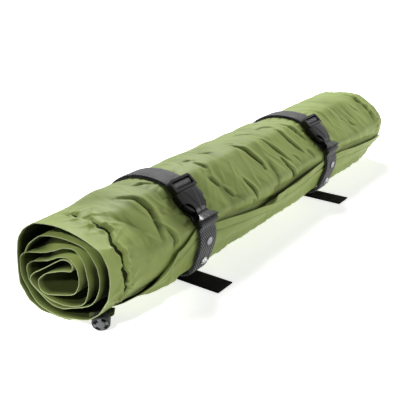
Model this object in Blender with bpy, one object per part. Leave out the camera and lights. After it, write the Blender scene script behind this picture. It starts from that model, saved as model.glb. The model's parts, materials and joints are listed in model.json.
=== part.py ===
"""Rolled self-inflating sleeping mat with two buckled webbing straps and a corner valve.

Metres, +Z up. X runs along the roll, the valve is at the -X end and the buckles face -Y. The origin is
the centre of the footprint, on the surface that the roll rests on.
"""
import math

import bmesh
import bpy
import numpy as np
from mathutils import Matrix, Vector

# Clearances between pieces, and how far a cutter reaches past what it cuts
TOUCH = 0.0003
SLIDE_FIT = 0.0004
BEYOND = 0.010

# Mat: a foam core between two welded sheets, wound on itself
MAT_WIDTH = 0.573
SHEET = 0.0005
TURNS = 4.5
PITCH_Y = 0.0075
PITCH_Z = 0.0070
BACK_REACH = 0.0568
TOP_REACH = 0.0954
FLANGE = 0.0245
EDGE_TAPER = 0.0220
END_ANGLE = math.radians(182.0)
END_FLANGE_TURN = 0.075
END_TAPER_TURN = 0.055
CORNER_CUT_TURN = 0.24
CORNER_LENGTH = 0.0715
CORNER_POWER = 1.2
CORNER_LIFT = 0.0020
STATIONS_PER_TURN = 16
LEVEL_INNER = 0.045
LEVEL_OUTER = 0.92
LEVEL_FLANGE = 0.48
LEVEL_END = 0.10
SWELL = 0.0036
SWELL_UNDER = 0.0024
SWELL_MARGIN = 0.0040
SWELL_REACH = 0.050
ROUND_TOP = 2.1
ROUND_BASE = 2.4
FLAT_BASE = 0.985

# Heart of the roll, where the mat doubles back on itself
HEART_TURN = 0.4375
HEART_BEND = 0.0039
HEART_FOLD = 0.0041
HEART_LEFT = 0.0060
HEART_END = 0.0140
CORE_MARGIN = 0.0040

# Straps
WEBBING_WIDTH = 0.025
WEBBING = 0.0016
STRAP_X = (-0.1591, 0.1066)
TAIL_REACH = 0.0798
TAIL_FLAT = 0.0120
FOLD_END = math.radians(221.0)
FOLD_MERGE = math.radians(252.0)
STRAP_SPLIT = math.radians(440.0)
SPLIT_STAGGER = math.radians(5.0)

# Buckle
BUCKLE_TILT = math.radians(40.0)
BUCKLE_SEAT = 0.0440
BUCKLE_START = -0.0126
BUCKLE_CHEEK = 0.0038
SLOT_ROOM = 0.0007
FRAME_BASE = 0.0038
FRAME_THICK = 0.0034
END_BAR = 0.0024
LOCK_SLOT = 0.0028
LOCK_BAR = 0.0026
LOCK_BEND = 0.0013
CROSSBAR = 0.0027
FEMALE_LENGTH = 0.0376
FEMALE_THICK = 0.0094
FEMALE_WALL = 0.0019
WAIST_CHEEK = 0.0003
FLARE_CHEEK = 0.0031
WINDOW_START = 0.0228
WINDOW_LENGTH = 0.0102
BODY_LENGTH = 0.0300
FOLD_SLOT = 0.0025
FOLD_BAR = 0.0028
FOLD_BAR_RISE = 0.0026
FOLD_BAR_ROOT = 0.0006
FOLD_DROP = 0.0060
PRONG_LENGTH = 0.0215
PRONG_WIDTH = 0.0036
PRONG_INSET = 0.0032
CATCH_REACH = 0.0014
GUIDE_HALF = 0.0015
CROSSBAR_INSET = 0.0010
FRAME_CORNER = 0.0022
FLARE_CORNER = 0.0019
CROWN_RISE = 0.0018
GROOVE_DEPTH = 0.0007

# Rivet and snap stud through the folded webbing
RIVET_HEIGHT = 0.0450
STUD_HEIGHT = 0.0240
SHANK_RADIUS = 0.0017
RIVET_RADIUS = 0.0042
BACK_FLANGE = 0.0005
CAP_RISE = 0.0015
STUD_RISE = 0.0034

# Valve
KNOB_RADIUS = 0.0081
KNOB_LENGTH = 0.0078
KNOB_WALL = 0.0015
KNOB_LOBES = 12
VALVE_INSET = 0.0175
EDGE_SEAM = 0.0013
VALVE_DROOP = math.radians(12.0)
VALVE_BORE = 0.0030
VALVE_TUBE = 0.0048
VALVE_REACH = 0.0160
BOAT_LENGTH = 0.0220
BOAT_HEIGHT = 0.0062
BOAT_DEPTH = 0.0050
SEAL_TUBE = 0.0006
PIN_LENGTH = 0.0060
THREAD_PITCH = 0.0016
THREAD_DEPTH = 0.0004

HALF_WIDTH = MAT_WIDTH / 2
CORNER_START = HALF_WIDTH - CORNER_LENGTH
VALVE_X = VALVE_INSET - HALF_WIDTH
BUCKLE_HALF = WEBBING_WIDTH / 2 + BUCKLE_CHEEK
SLOT_HALF = WEBBING_WIDTH / 2 + SLOT_ROOM
WAIST_HALF = WEBBING_WIDTH / 2 + WAIST_CHEEK
FLARE_HALF = WEBBING_WIDTH / 2 + FLARE_CHEEK
PRONG_ROOT_X = WEBBING_WIDTH / 2 - PRONG_INSET
CROSSBAR_HALF = WEBBING_WIDTH / 2 - CROSSBAR_INSET
WELD_X = HALF_WIDTH - FLANGE
BODY_X = WELD_X - EDGE_TAPER
LAYER = WEBBING + TOUCH
STACK = 2 * LAYER
D_MAIN = TOUCH + WEBBING / 2
D_TAIL = D_MAIN + LAYER
D_FOLD_IN = 3 * TOUCH + BACK_FLANGE + WEBBING / 2
D_FOLD_OUT = D_FOLD_IN + LAYER
SHEET_STEP = (SHEET + TOUCH) / (2 * PITCH_Z)

# Half height and half width of the section at level 0, from the reach of the wound mat
LEVEL_BACK = TURNS - 0.5 + LEVEL_OUTER + SHEET / (2 * PITCH_Y)
LEVEL_TOP = TURNS - 0.75 + LEVEL_OUTER + SHEET / (2 * PITCH_Z)
LEVEL_BASE = TURNS - 0.22 + LEVEL_OUTER + SHEET / (2 * PITCH_Z)
FRONT_REACH = BACK_REACH - PITCH_Y * 0.29
CORE_Y = (BACK_REACH + FRONT_REACH) / 2 - PITCH_Y * (LEVEL_BACK - 0.25)
CORE_Z = (TOP_REACH - STACK - PITCH_Z * (LEVEL_TOP + FLAT_BASE * LEVEL_BASE)) / (1 + FLAT_BASE)


def material(name, colour, roughness, metallic=0.0):
    """Return a Principled material with one colour."""
    made = bpy.data.materials.new(name)
    made.use_nodes = True
    shader = made.node_tree.nodes["Principled BSDF"]
    shader.inputs["Base Color"].default_value = (*colour, 1.0)
    shader.inputs["Roughness"].default_value = roughness
    shader.inputs["Metallic"].default_value = metallic
    made.diffuse_color = (*colour, 1.0)
    return made


def finish(name, bm, look, smooth_angle=None):
    """Turn a bmesh into a named object with its own material."""
    bmesh.ops.remove_doubles(bm, verts=bm.verts, dist=1e-6)
    bmesh.ops.recalc_face_normals(bm, faces=bm.faces)
    mesh = bpy.data.meshes.new(name)
    bm.to_mesh(mesh)
    bm.free()
    if smooth_angle is not None:
        mesh.shade_smooth()
        mesh.set_sharp_from_angle(angle=smooth_angle)
    made = bpy.data.objects.new(name, mesh)
    bpy.context.scene.collection.objects.link(made)
    mesh.materials.append(look)
    return made


def cutter(name, bm, carrier, operation="DIFFERENCE"):
    """Cut (or join) a helper shape on the carrier with an exact Boolean, in the carrier's own frame."""
    bmesh.ops.recalc_face_normals(bm, faces=bm.faces)
    mesh = bpy.data.meshes.new(name)
    bm.to_mesh(mesh)
    bm.free()
    tool = bpy.data.objects.new(name, mesh)
    bpy.context.scene.collection.objects.link(tool)
    tool.parent = carrier
    tool.hide_render = True
    tool.display_type = "WIRE"
    cut = carrier.modifiers.new(name, "BOOLEAN")
    cut.operation = operation
    cut.solver = "EXACT"
    cut.object = tool
    return tool


def box(bm, low, high):
    """Add an upright box between two corners and return its vertices."""
    made = bmesh.ops.create_cube(bm, size=1.0)["verts"]
    low, high = Vector(low), Vector(high)
    bmesh.ops.scale(bm, vec=high - low, verts=made)
    bmesh.ops.translate(bm, vec=(low + high) / 2, verts=made)
    return made


def prism(bm, outline, low, high):
    """Extrude a closed (x, y) outline from height low to height high."""
    face = bm.faces.new([bm.verts.new((x, y, low)) for x, y in outline])
    top = bmesh.ops.extrude_face_region(bm, geom=[face])["geom"]
    moved = [item for item in top if isinstance(item, bmesh.types.BMVert)]
    bmesh.ops.translate(bm, vec=(0, 0, high - low), verts=moved)
    return moved


def turned(bm, profile, steps):
    """Spin an open (radius, height) profile, or a closed one off the axis, about Z."""
    verts = [bm.verts.new((radius, 0, height)) for radius, height in profile]
    edges = [bm.edges.new(pair) for pair in zip(verts, verts[1:])]
    if profile[0][0] > 1e-6:
        edges.append(bm.edges.new((verts[-1], verts[0])))
    bmesh.ops.spin(bm, geom=verts + edges, cent=(0, 0, 0), axis=(0, 0, 1), angle=2 * math.pi,
                   steps=steps, use_merge=True, use_duplicate=False)
    bmesh.ops.remove_doubles(bm, verts=bm.verts, dist=1e-6)


def arc(centre, radius, start, end, count):
    """Return count + 1 points of an arc in a plane, angles in degrees."""
    angles = np.radians(np.linspace(start, end, count + 1))
    return [(centre[0] + radius * math.cos(a), centre[1] + radius * math.sin(a)) for a in angles]


def buckle_axes():
    """Return the directions along the buckle and out of the roll, in the YZ plane."""
    along = Vector((-math.cos(BUCKLE_TILT), -math.sin(BUCKLE_TILT)))
    outward = Vector((-math.sin(BUCKLE_TILT), math.cos(BUCKLE_TILT)))
    return along, outward


def section_scale(half_y, half_z, angle):
    """Return how far the rounded section reaches at an angle, as a share of its half sizes."""
    c, s = math.cos(angle), math.sin(angle)
    power = ROUND_TOP if s >= 0 else ROUND_BASE
    reach = (abs(c) ** power + abs(s) ** power) ** (-1 / power)
    if s < 0:
        reach = min(reach, FLAT_BASE / -s)
    outward = buckle_axes()[1]
    facing = outward.x * half_y * c + outward.y * half_z * s
    if facing > 0:
        level = TURNS - 0.80 + LEVEL_OUTER
        outer_y = CORE_Y + PITCH_Y * level
        outer_z = CORE_Z + PITCH_Z * level
        seat = (BUCKLE_SEAT - TOUCH) / math.hypot(outer_y * outward.x, outer_z * outward.y)
        support = math.hypot(half_y * outward.x, half_z * outward.y)
        reach = min(reach, seat * support / facing)
    return reach


def section_offset(level, turn, swell=0.0):
    """Return the (y, z) place of a level of the winding at a turn, from the roll's middle."""
    angle = END_ANGLE + 2 * math.pi * (TURNS - turn)
    half_y = CORE_Y + PITCH_Y * level
    half_z = CORE_Z + PITCH_Z * level
    reach = section_scale(half_y, half_z, angle)
    return (half_y + swell) * reach * math.cos(angle), (half_z + swell) * reach * math.sin(angle)


def section_point(level, turn, swell=0.0):
    """Return the (y, z) place of a level of the winding at a turn, counted from the heart."""
    y, z = section_offset(level, turn, swell)
    return CENTRE_Y + y, CENTRE_Z + z


def ease(value, low, high):
    """Return 0 below low, 1 above high and a smooth step between."""
    share = min(1.0, max(0.0, (value - low) / (high - low)))
    return share * share * (3 - 2 * share)


def body_share(x):
    """Return 1 over the filled body of the mat and 0 on the welded side flanges."""
    return 1 - ease(abs(x), BODY_X, WELD_X)


def end_share(turn):
    """Return 1 over the filled body and 0 on the welded flange of the outer end."""
    weld = TURNS - END_FLANGE_TURN
    return 1 - ease(turn, weld - END_TAPER_TURN, weld)


def sheet_level(side, x, turn):
    """Return the level, within its turn, of the inner (-1) or outer (1) sheet's middle."""
    middle = LEVEL_END + (LEVEL_FLANGE - LEVEL_END) * end_share(turn)
    flange = middle + side * SHEET_STEP
    if side < 0:
        filled = LEVEL_INNER
    else:
        filled = LEVEL_END + SHEET_STEP + (LEVEL_OUTER - LEVEL_END - SHEET_STEP) * end_share(turn)
    share = body_share(x)
    return flange + (filled - flange) * share


def corner_turn(x, turn):
    """Draw the outer end back towards the valve's corner, which is cut off aslant."""
    share = max(0.0, (-x - CORNER_START) / (HALF_WIDTH - CORNER_START))
    return turn - CORNER_CUT_TURN * share ** CORNER_POWER * ease(turn, TURNS - 0.5, TURNS)


def swell(x, turn):
    """Return how far the outer sheet stands proud between the straps."""
    share = 1.0
    for strap in STRAP_X:
        share *= ease(abs(x - strap) - WEBBING_WIDTH / 2, SWELL_MARGIN, SWELL_REACH)
    share *= ease(turn, TURNS - 1.0, TURNS - 0.8) * end_share(turn)
    angle = END_ANGLE + 2 * math.pi * (TURNS - turn)
    under = max(0.0, -math.sin(angle))
    return share * body_share(x) * (SWELL + (SWELL_UNDER - SWELL) * under)


def heart_path():
    """Return (y, z, ny, nz, filled) stations of the doubled-back heart, from its inner end outwards."""
    start_y, start_z = section_point(LEVEL_FLANGE - HEART_TURN, -HEART_TURN)
    bend = (start_y + HEART_BEND, start_z)
    pass_z = start_z - HEART_BEND
    fold = (CENTRE_Y + HEART_LEFT, pass_z - HEART_FOLD)
    stations = []
    for y in np.linspace(fold[0] - HEART_END, fold[0], 4)[:-1]:
        stations.append((y, pass_z - 2 * HEART_FOLD, 0.0, 1.0, 0.0))
    for index, (y, z) in enumerate(arc(fold, HEART_FOLD, -90, 90, 4)):
        angle = math.radians(-90 + 45 * index)
        stations.append((y, z, -math.cos(angle), -math.sin(angle), index / 4))
    for y in np.linspace(fold[0], bend[0], 4)[1:-1]:
        stations.append((y, pass_z, 0.0, -1.0, 1.0))
    for index, (y, z) in enumerate(arc(bend, HEART_BEND, -90, -180, 3)[:-1]):
        angle = math.radians(-90 - 30 * index)
        stations.append((y, z, math.cos(angle), math.sin(angle), 1.0))
    return stations


def heart_offset(level, filled, side_share):
    """Return the distance from the heart's middle line for a level of the winding."""
    thick = (level - LEVEL_FLANGE) * PITCH_Z * 0.93
    thin = math.copysign((SHEET + TOUCH) / 2, level - LEVEL_FLANGE)
    return thin + (thick - thin) * filled * side_share


def turn_stations():
    """Return the turns at which the winding has a row of points."""
    first = -HEART_TURN
    count = round((TURNS - first) * STATIONS_PER_TURN)
    return [first + (TURNS - first) * index / count for index in range(count + 1)]


def columns(turn, edge=HALF_WIDTH):
    """Return the places along X of a row's points; the cut corner needs more of them."""
    marks = [BODY_X, WELD_X, edge] if edge > WELD_X else [BODY_X, edge]
    places = [-mark for mark in marks] + marks
    if turn > TURNS - 0.5:
        places.append(-CORNER_START)
        if edge > WELD_X:
            places += [VALVE_X, (VALVE_X - edge) / 2]
    return sorted(places)


def wound_row(level_at, xs, turn, swelling=False):
    """Return one row of points of the winding, level_at(x, turn) giving the level in the turn."""
    row = []
    for x in xs:
        place = corner_turn(x, turn)
        lift = CORNER_LIFT * ease((turn - place) * STATIONS_PER_TURN, 0.0, 0.5)
        if swelling:
            lift = max(lift, swell(x, turn))
        y, z = section_point(place + level_at(x, turn), place, lift)
        row.append((x, y, z))
    return row


def heart_rows(level_at, xs):
    """Return the rows of points over the doubled-back heart."""
    rows = []
    for y, z, ny, nz, filled in heart_path():
        row = []
        for x in xs:
            off = heart_offset(level_at(0.0, 0.0), filled, body_share(x))
            row.append((x, y + ny * off, z + nz * off))
        rows.append(row)
    return rows


def lay_rows(bm, rows):
    """Join rows of points into faces; neighbouring rows may differ in how many points they have."""
    made = [[bm.verts.new(point) for point in row] for row in rows]
    for first, second in zip(made, made[1:]):
        fewer, more = (first, second) if len(first) <= len(second) else (second, first)
        spans = [0]
        for vert in fewer[1:]:
            spans.append(min(range(len(more)), key=lambda i: abs(more[i].co.x - vert.co.x)))
        for index in range(len(fewer) - 1):
            far = more[spans[index]:spans[index + 1] + 1]
            near = [fewer[index + 1], fewer[index]]
            bm.faces.new(far + near)
    return made


def fabric_sheet(name, side, look):
    """Wind one fabric sheet of the mat, from the heart to the outer end."""
    folds = set()
    for strap in STRAP_X:
        edge = WEBBING_WIDTH / 2 + SWELL_MARGIN
        folds |= {strap - edge, strap + edge}
    span = STRAP_X[1] - STRAP_X[0]
    folds |= {STRAP_X[0] + span * 0.28, STRAP_X[0] + span * 0.72}

    def level(x, turn):
        return sheet_level(side, x, turn)

    rows = heart_rows(level, columns(0.0))
    for turn in turn_stations():
        proud = side > 0 and turn > TURNS - 1.0
        xs = sorted(folds | set(columns(turn))) if proud else columns(turn)
        rows.append(wound_row(level, xs, turn, swelling=proud))
    bm = bmesh.new()
    lay_rows(bm, rows)
    made = finish(name, bm, look, math.radians(50))
    wall = made.modifiers.new("sheet", "SOLIDIFY")
    wall.thickness = SHEET
    wall.offset = 0.0
    wall.use_even_offset = True
    return made


def foam_core(name, look):
    """Wind the foam core that fills the mat between its sheets."""
    edge = WELD_X - CORE_MARGIN
    skin = (SHEET / 2 + TOUCH) / PITCH_Z

    def level(side):
        def at(x, turn):
            inner = sheet_level(-1, x, turn) + skin
            outer = sheet_level(1, x, turn) - skin
            return inner if side < 0 else max(outer, inner + 0.02)
        return at

    turns = [turn for turn in turn_stations() if turn < TURNS - END_FLANGE_TURN - 0.02]
    surfaces = []
    for side in (-1, 1):
        rows = []
        for y, z, ny, nz, filled in heart_path():
            if filled < 0.5:
                continue
            row = []
            for x in columns(0.0, edge):
                middle = level(side)(x, 0.0) - LEVEL_FLANGE
                off = middle * PITCH_Z * 0.93 * filled
                row.append((x, y + ny * off, z + nz * off))
            rows.append(row)
        rows += [wound_row(level(side), columns(turn, edge), turn) for turn in turns]
        surfaces.append(rows)
    bm = bmesh.new()
    inner = lay_rows(bm, surfaces[0])
    outer = lay_rows(bm, surfaces[1])
    loops = []
    for grid in (inner, outer):
        left = [row[0] for row in grid]
        right = [row[-1] for row in grid]
        loops.append(left + grid[-1][1:-1] + right[::-1] + grid[0][-2:0:-1])
    count = len(loops[0])
    for index in range(count):
        after = (index + 1) % count
        bm.faces.new((loops[0][index], loops[0][after], loops[1][after], loops[1][index]))
    return finish(name, bm, look, math.radians(50))


def outline_offsets():
    """Return the outer face of the wound mat all round, from the roll's middle."""
    points = []
    for step in range(120):
        turn = TURNS - step / 120
        level = turn + sheet_level(1, 0.0, turn) + SHEET / (2 * PITCH_Z)
        points.append(section_offset(level, turn))
    return points


CENTRE_Y = BACK_REACH - max(y for y, z in outline_offsets())
CENTRE_Z = STACK - min(z for y, z in outline_offsets())


def envelope():
    """Return the taut outline round the wound mat at a strap: points and outward normals."""
    points = [(CENTRE_Y + y, CENTRE_Z + z) for y, z in outline_offsets()]
    points.sort()
    hull = []
    for order in (points, points[::-1]):
        side = []
        for point in order:
            while len(side) > 1:
                (ax, ay), (bx, by) = side[-2], side[-1]
                if (bx - ax) * (point[1] - ay) - (by - ay) * (point[0] - ax) > 0:
                    break
                side.pop()
            side.append(point)
        hull += side[:-1]
    hull = np.array(hull)
    closed = np.vstack([hull, hull[:1]])
    length = np.r_[0, np.cumsum(np.linalg.norm(np.diff(closed, axis=0), axis=1))]
    at = np.linspace(0, length[-1], 361)[:-1]
    even = np.stack([np.interp(at, length, closed[:, 0]), np.interp(at, length, closed[:, 1])], 1)
    tangent = np.roll(even, -3, axis=0) - np.roll(even, 3, axis=0)
    tangent /= np.linalg.norm(tangent, axis=1)[:, None]
    normal = np.stack([tangent[:, 1], -tangent[:, 0]], 1)
    angle = np.arctan2(even[:, 1] - CENTRE_Z, even[:, 0] - CENTRE_Y) % (2 * math.pi)
    order = np.argsort(angle)
    return angle[order], even[order], normal[order]


OUTLINE = envelope()


def taut(angle, distance):
    """Return the (y, z) point at a distance outside the taut outline, by its angle about the roll."""
    angles, points, normals = OUTLINE
    place = angle % (2 * math.pi)
    y = np.interp(place, angles, points[:, 0], period=2 * math.pi)
    z = np.interp(place, angles, points[:, 1], period=2 * math.pi)
    ny = np.interp(place, angles, normals[:, 0], period=2 * math.pi)
    nz = np.interp(place, angles, normals[:, 1], period=2 * math.pi)
    size = math.hypot(ny, nz)
    return y + ny / size * distance, z + nz / size * distance


def angle_at_height(height):
    """Return the angle of the front of the taut outline at a height."""
    angles, points, normals = OUTLINE
    front = [(abs(z - height), angle) for angle, (y, z) in zip(angles, points) if y < CENTRE_Y]
    return min(front)[1]


def buckle_point(along, out):
    """Return the (y, z) place of a point given along the buckle and outward from its seat."""
    axis, outward = buckle_axes()
    y = CENTRE_Y + outward.x * (BUCKLE_SEAT + out) + axis.x * (BUCKLE_START + along)
    z = CENTRE_Z + outward.y * (BUCKLE_SEAT + out) + axis.y * (BUCKLE_START + along)
    return y, z


def lock_places():
    """Return the edges of the ladder lock's bars and slots along the buckle."""
    edges = [0.0]
    for size in (END_BAR, LOCK_SLOT, LOCK_BAR, LOCK_SLOT + 0.0002, CROSSBAR):
        edges.append(edges[-1] + size)
    return edges


def fold_bar_centre():
    """Return the middle of the female half's bar, along the buckle and outward."""
    mouth = lock_places()[-1] + TOUCH
    return mouth + FEMALE_LENGTH - FOLD_BAR / 2 - 0.0004, FOLD_BAR_RISE


def sweep_angles(start, end, step=6.0):
    """Return angles from start to end in even steps of about the given degrees."""
    count = max(2, round(abs(end - start) / math.radians(step)))
    return np.linspace(start, end, count + 1)


def main_path():
    """Return the strap's path from its folded end, round the bar, round the roll to the split."""
    bar_u, bar_w = fold_bar_centre()
    radius = FOLD_BAR / 2 + SLIDE_FIT + WEBBING / 2
    top = angle_at_height(buckle_point(bar_u, bar_w)[1] - FOLD_DROP)
    path = [taut(angle, D_FOLD_IN) for angle in sweep_angles(FOLD_END, top)]
    turn = math.degrees(BUCKLE_TILT)
    for u, w in arc((bar_u, bar_w), radius, 180 + turn, turn, 9):
        path.append(buckle_point(u, w))
    path += [taut(angle, D_FOLD_OUT) for angle in sweep_angles(top, FOLD_END)]
    for angle in sweep_angles(FOLD_END, FOLD_MERGE)[1:]:
        share = ease(angle, FOLD_END, FOLD_MERGE)
        path.append(taut(angle, D_FOLD_OUT + (D_MAIN - D_FOLD_OUT) * share))
    path += [taut(angle, D_MAIN) for angle in sweep_angles(FOLD_MERGE, STRAP_SPLIT)[1:]]
    return path


def adjuster_path():
    """Return the path that threads the ladder lock, from the split and back to it."""
    edges = lock_places()
    reach = math.radians(360 + 109)
    gap = math.radians(0.6)
    under = FRAME_BASE - WEBBING / 2 - TOUCH
    lower = under - LAYER
    over = FRAME_BASE + FRAME_THICK + TOUCH + WEBBING / 2
    inner = (edges[3] + edges[4]) / 2
    outer = (edges[1] + edges[2]) / 2
    bend = LOCK_BEND
    path = [taut(angle, D_MAIN) for angle in sweep_angles(STRAP_SPLIT + gap, reach)]
    path += [buckle_point(u, lower) for u in (0.0, 0.004)]
    path += [buckle_point(u, w) for u, w in arc((inner - bend, lower + bend), bend, -90, 0, 3)]
    path += [buckle_point(u, w) for u, w in arc((inner - bend, over - bend), bend, 0, 90, 3)]
    path += [buckle_point(u, w) for u, w in arc((outer + bend, over - bend), bend, 90, 180, 3)]
    path += [buckle_point(u, w) for u, w in arc((outer - bend, under + bend), bend, 0, -90, 3)]
    path += [buckle_point(0.0, under)]
    start = STRAP_SPLIT + SPLIT_STAGGER
    path += [taut(angle, D_TAIL) for angle in sweep_angles(reach, start + gap)]
    return path


def tail_path():
    """Return the free tail's path, from the split over the back and under, out on to the floor."""
    leave = math.radians(268)
    path = [taut(angle, D_TAIL) for angle in sweep_angles(STRAP_SPLIT + SPLIT_STAGGER, leave)]
    path += [(y, WEBBING / 2) for y in np.linspace(-TAIL_FLAT, -TAIL_REACH, 6)]
    return path


def webbing(name, path, strap_x, look):
    """Extrude a path in the YZ plane across the strap's width and give it the webbing's thickness."""
    bm = bmesh.new()
    verts = [bm.verts.new((strap_x - WEBBING_WIDTH / 2, y, z)) for y, z in path]
    edges = [bm.edges.new(pair) for pair in zip(verts, verts[1:])]
    swept = bmesh.ops.extrude_edge_only(bm, edges=edges)["geom"]
    moved = [item for item in swept if isinstance(item, bmesh.types.BMVert)]
    bmesh.ops.translate(bm, vec=(WEBBING_WIDTH, 0, 0), verts=moved)
    made = finish(name, bm, look, math.radians(40))
    wall = made.modifiers.new("webbing", "SOLIDIFY")
    wall.thickness = WEBBING
    wall.offset = 0.0
    wall.use_even_offset = True
    return made


def fastener_frame(name, height, strap_x):
    """Place an empty on the folded webbing at a height, its Z pointing out of the roll."""
    angle = angle_at_height(height)
    inner = Vector((0.0, *taut(angle, D_FOLD_IN)))
    outer = Vector((0.0, *taut(angle, D_FOLD_OUT)))
    out = (outer - inner).normalized()
    side = Vector((-1.0, 0.0, 0.0))
    frame = bpy.data.objects.new(name, None)
    bpy.context.scene.collection.objects.link(frame)
    middle = (inner + outer) / 2 + Vector((strap_x, 0, 0))
    basis = Matrix((side, out.cross(side), out)).transposed()
    frame.matrix_world = Matrix.Translation(middle) @ basis.to_4x4()
    return frame


def pierce(strap, frame, name):
    """Make the hole that a fastener's shank goes through."""
    bm = bmesh.new()
    bmesh.ops.create_cone(bm, cap_ends=True, segments=12, radius1=SHANK_RADIUS + TOUCH,
                          radius2=SHANK_RADIUS + TOUCH, depth=2 * LAYER + 2 * WEBBING)
    bmesh.ops.transform(bm, matrix=frame.matrix_world, verts=bm.verts)
    cutter(name, bm, strap)


def rivet(side, strap, strap_x, looks):
    """Model the capped rivet: a shank with a back flange, and the domed cap pressed over its head."""
    frame = fastener_frame(side + "_rivet_frame", RIVET_HEIGHT, strap_x)
    pierce(strap, frame, side + "_rivet_hole")
    back = -LAYER / 2 - WEBBING / 2 - 2 * TOUCH
    front = LAYER / 2 + WEBBING / 2 + TOUCH
    head = front + CAP_RISE * 0.45
    bm = bmesh.new()
    turned(bm, [(0, back - BACK_FLANGE), (RIVET_RADIUS, back - BACK_FLANGE), (RIVET_RADIUS, back),
                (SHANK_RADIUS, back), (SHANK_RADIUS, head), (0, head)], 16)
    shank = finish(side + "_rivet_shank", bm, looks["shank"], math.radians(40))
    shank.parent = frame
    socket = SHANK_RADIUS + TOUCH
    bm = bmesh.new()
    dome = [(RIVET_RADIUS * math.cos(a), front + CAP_RISE * (0.35 + 0.65 * math.sin(a)))
            for a in np.radians([0, 25, 50, 72])]
    turned(bm, [(0, head + TOUCH), (socket, head + TOUCH), (socket, front),
                (RIVET_RADIUS, front)] + dome + [(0, front + CAP_RISE)], 20)
    cap = finish(side + "_rivet_cap", bm, looks["cap"], math.radians(40))
    cap.parent = frame


def snap_stud(side, strap, strap_x, looks):
    """Model the bare snap stud: an eyelet behind the webbing and the stud that is set on it."""
    frame = fastener_frame(side + "_stud_frame", STUD_HEIGHT, strap_x)
    pierce(strap, frame, side + "_stud_hole")
    back = -LAYER / 2 - WEBBING / 2 - 2 * TOUCH
    front = LAYER / 2 + WEBBING / 2 + TOUCH
    base = 0.0007
    bore = SHANK_RADIUS - 0.0006
    tip = front + base + 0.0006
    bm = bmesh.new()
    turned(bm, [(bore, back - BACK_FLANGE), (RIVET_RADIUS, back - BACK_FLANGE), (RIVET_RADIUS, back),
                (SHANK_RADIUS, back), (SHANK_RADIUS, tip), (bore, tip)], 16)
    eyelet = finish(side + "_stud_eyelet", bm, looks["eyelet"], math.radians(40))
    eyelet.parent = frame
    socket = SHANK_RADIUS + TOUCH
    neck = socket + 0.0007
    head = socket + 0.0011
    bm = bmesh.new()
    turned(bm, [(socket, front), (RIVET_RADIUS, front), (RIVET_RADIUS, front + base * 0.7),
                (neck + 0.0003, front + base), (neck, front + STUD_RISE * 0.45),
                (head, front + STUD_RISE * 0.7), (head * 0.93, front + STUD_RISE * 0.92),
                (socket + 0.0002, front + STUD_RISE), (socket, front + STUD_RISE * 0.8)], 20)
    stud = finish(side + "_snap_stud", bm, looks["stud"], math.radians(40))
    stud.parent = frame


def buckle_frame(name, strap_x):
    """Place an empty on the buckle's seat: local Y runs along the buckle, local Z outward."""
    frame = bpy.data.objects.new(name, None)
    bpy.context.scene.collection.objects.link(frame)
    y, z = buckle_point(0.0, 0.0)
    frame.location = (strap_x, y, z)
    frame.rotation_euler = (-BUCKLE_TILT, 0.0, math.pi)
    return frame


def cavity_size():
    """Return the half width and the lowest and highest level of the female half's cavity."""
    half = BUCKLE_HALF - FEMALE_WALL - 0.0010
    return half, FEMALE_WALL, FEMALE_THICK - FEMALE_WALL - 0.0004


def male_half(side, frame, look):
    """Model the male half: ladder lock, crossbar, shoulders and guide blade."""
    edges = lock_places()
    half, low, high = cavity_size()
    bm = bmesh.new()
    outline = arc((BUCKLE_HALF - FRAME_CORNER, FRAME_CORNER), FRAME_CORNER, -90, 0, 4)
    outline += [(BUCKLE_HALF - 0.0002, edges[4]), (BUCKLE_HALF - 0.0008, edges[5])]
    mirrored = [(-x, y) for x, y in reversed(outline)]
    prism(bm, outline + mirrored, FRAME_BASE, FRAME_BASE + FRAME_THICK)
    made = finish(side + "_buckle_male", bm, look, math.radians(35))
    made.parent = frame

    top = FRAME_BASE + FRAME_THICK + BEYOND
    bm = bmesh.new()
    box(bm, (-SLOT_HALF, edges[1], 0.0), (SLOT_HALF, edges[2], top))
    box(bm, (-SLOT_HALF, edges[3], 0.0), (SLOT_HALF, edges[4], top))
    cutter(side + "_lock_slots", bm, made)

    blade_end = edges[5] + PRONG_LENGTH * 0.62
    bm = bmesh.new()
    blade = [(GUIDE_HALF, edges[4] + 0.0006), (GUIDE_HALF, blade_end), (GUIDE_HALF * 0.4, blade_end + 0.003)]
    prism(bm, blade + [(-x, y) for x, y in reversed(blade)], low + SLIDE_FIT, high - SLIDE_FIT)
    cutter(side + "_guide_blade", bm, made, "UNION")

    bm = bmesh.new()
    near, far = edges[4] + 0.0004, edges[5] - 0.0003
    box(bm, (-CROSSBAR_HALF, near, FRAME_BASE - 0.0008), (CROSSBAR_HALF, far, high + 0.0006))
    cutter(side + "_crossbar", bm, made, "UNION")
    soften(made, 0.0004)
    return made


def soften(made, width, angle=50):
    """Round the moulded edges of a plastic piece."""
    bevel = made.modifiers.new("moulded_edges", "BEVEL")
    bevel.width = width
    bevel.segments = 1
    bevel.limit_method = "ANGLE"
    bevel.angle_limit = math.radians(angle)


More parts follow.
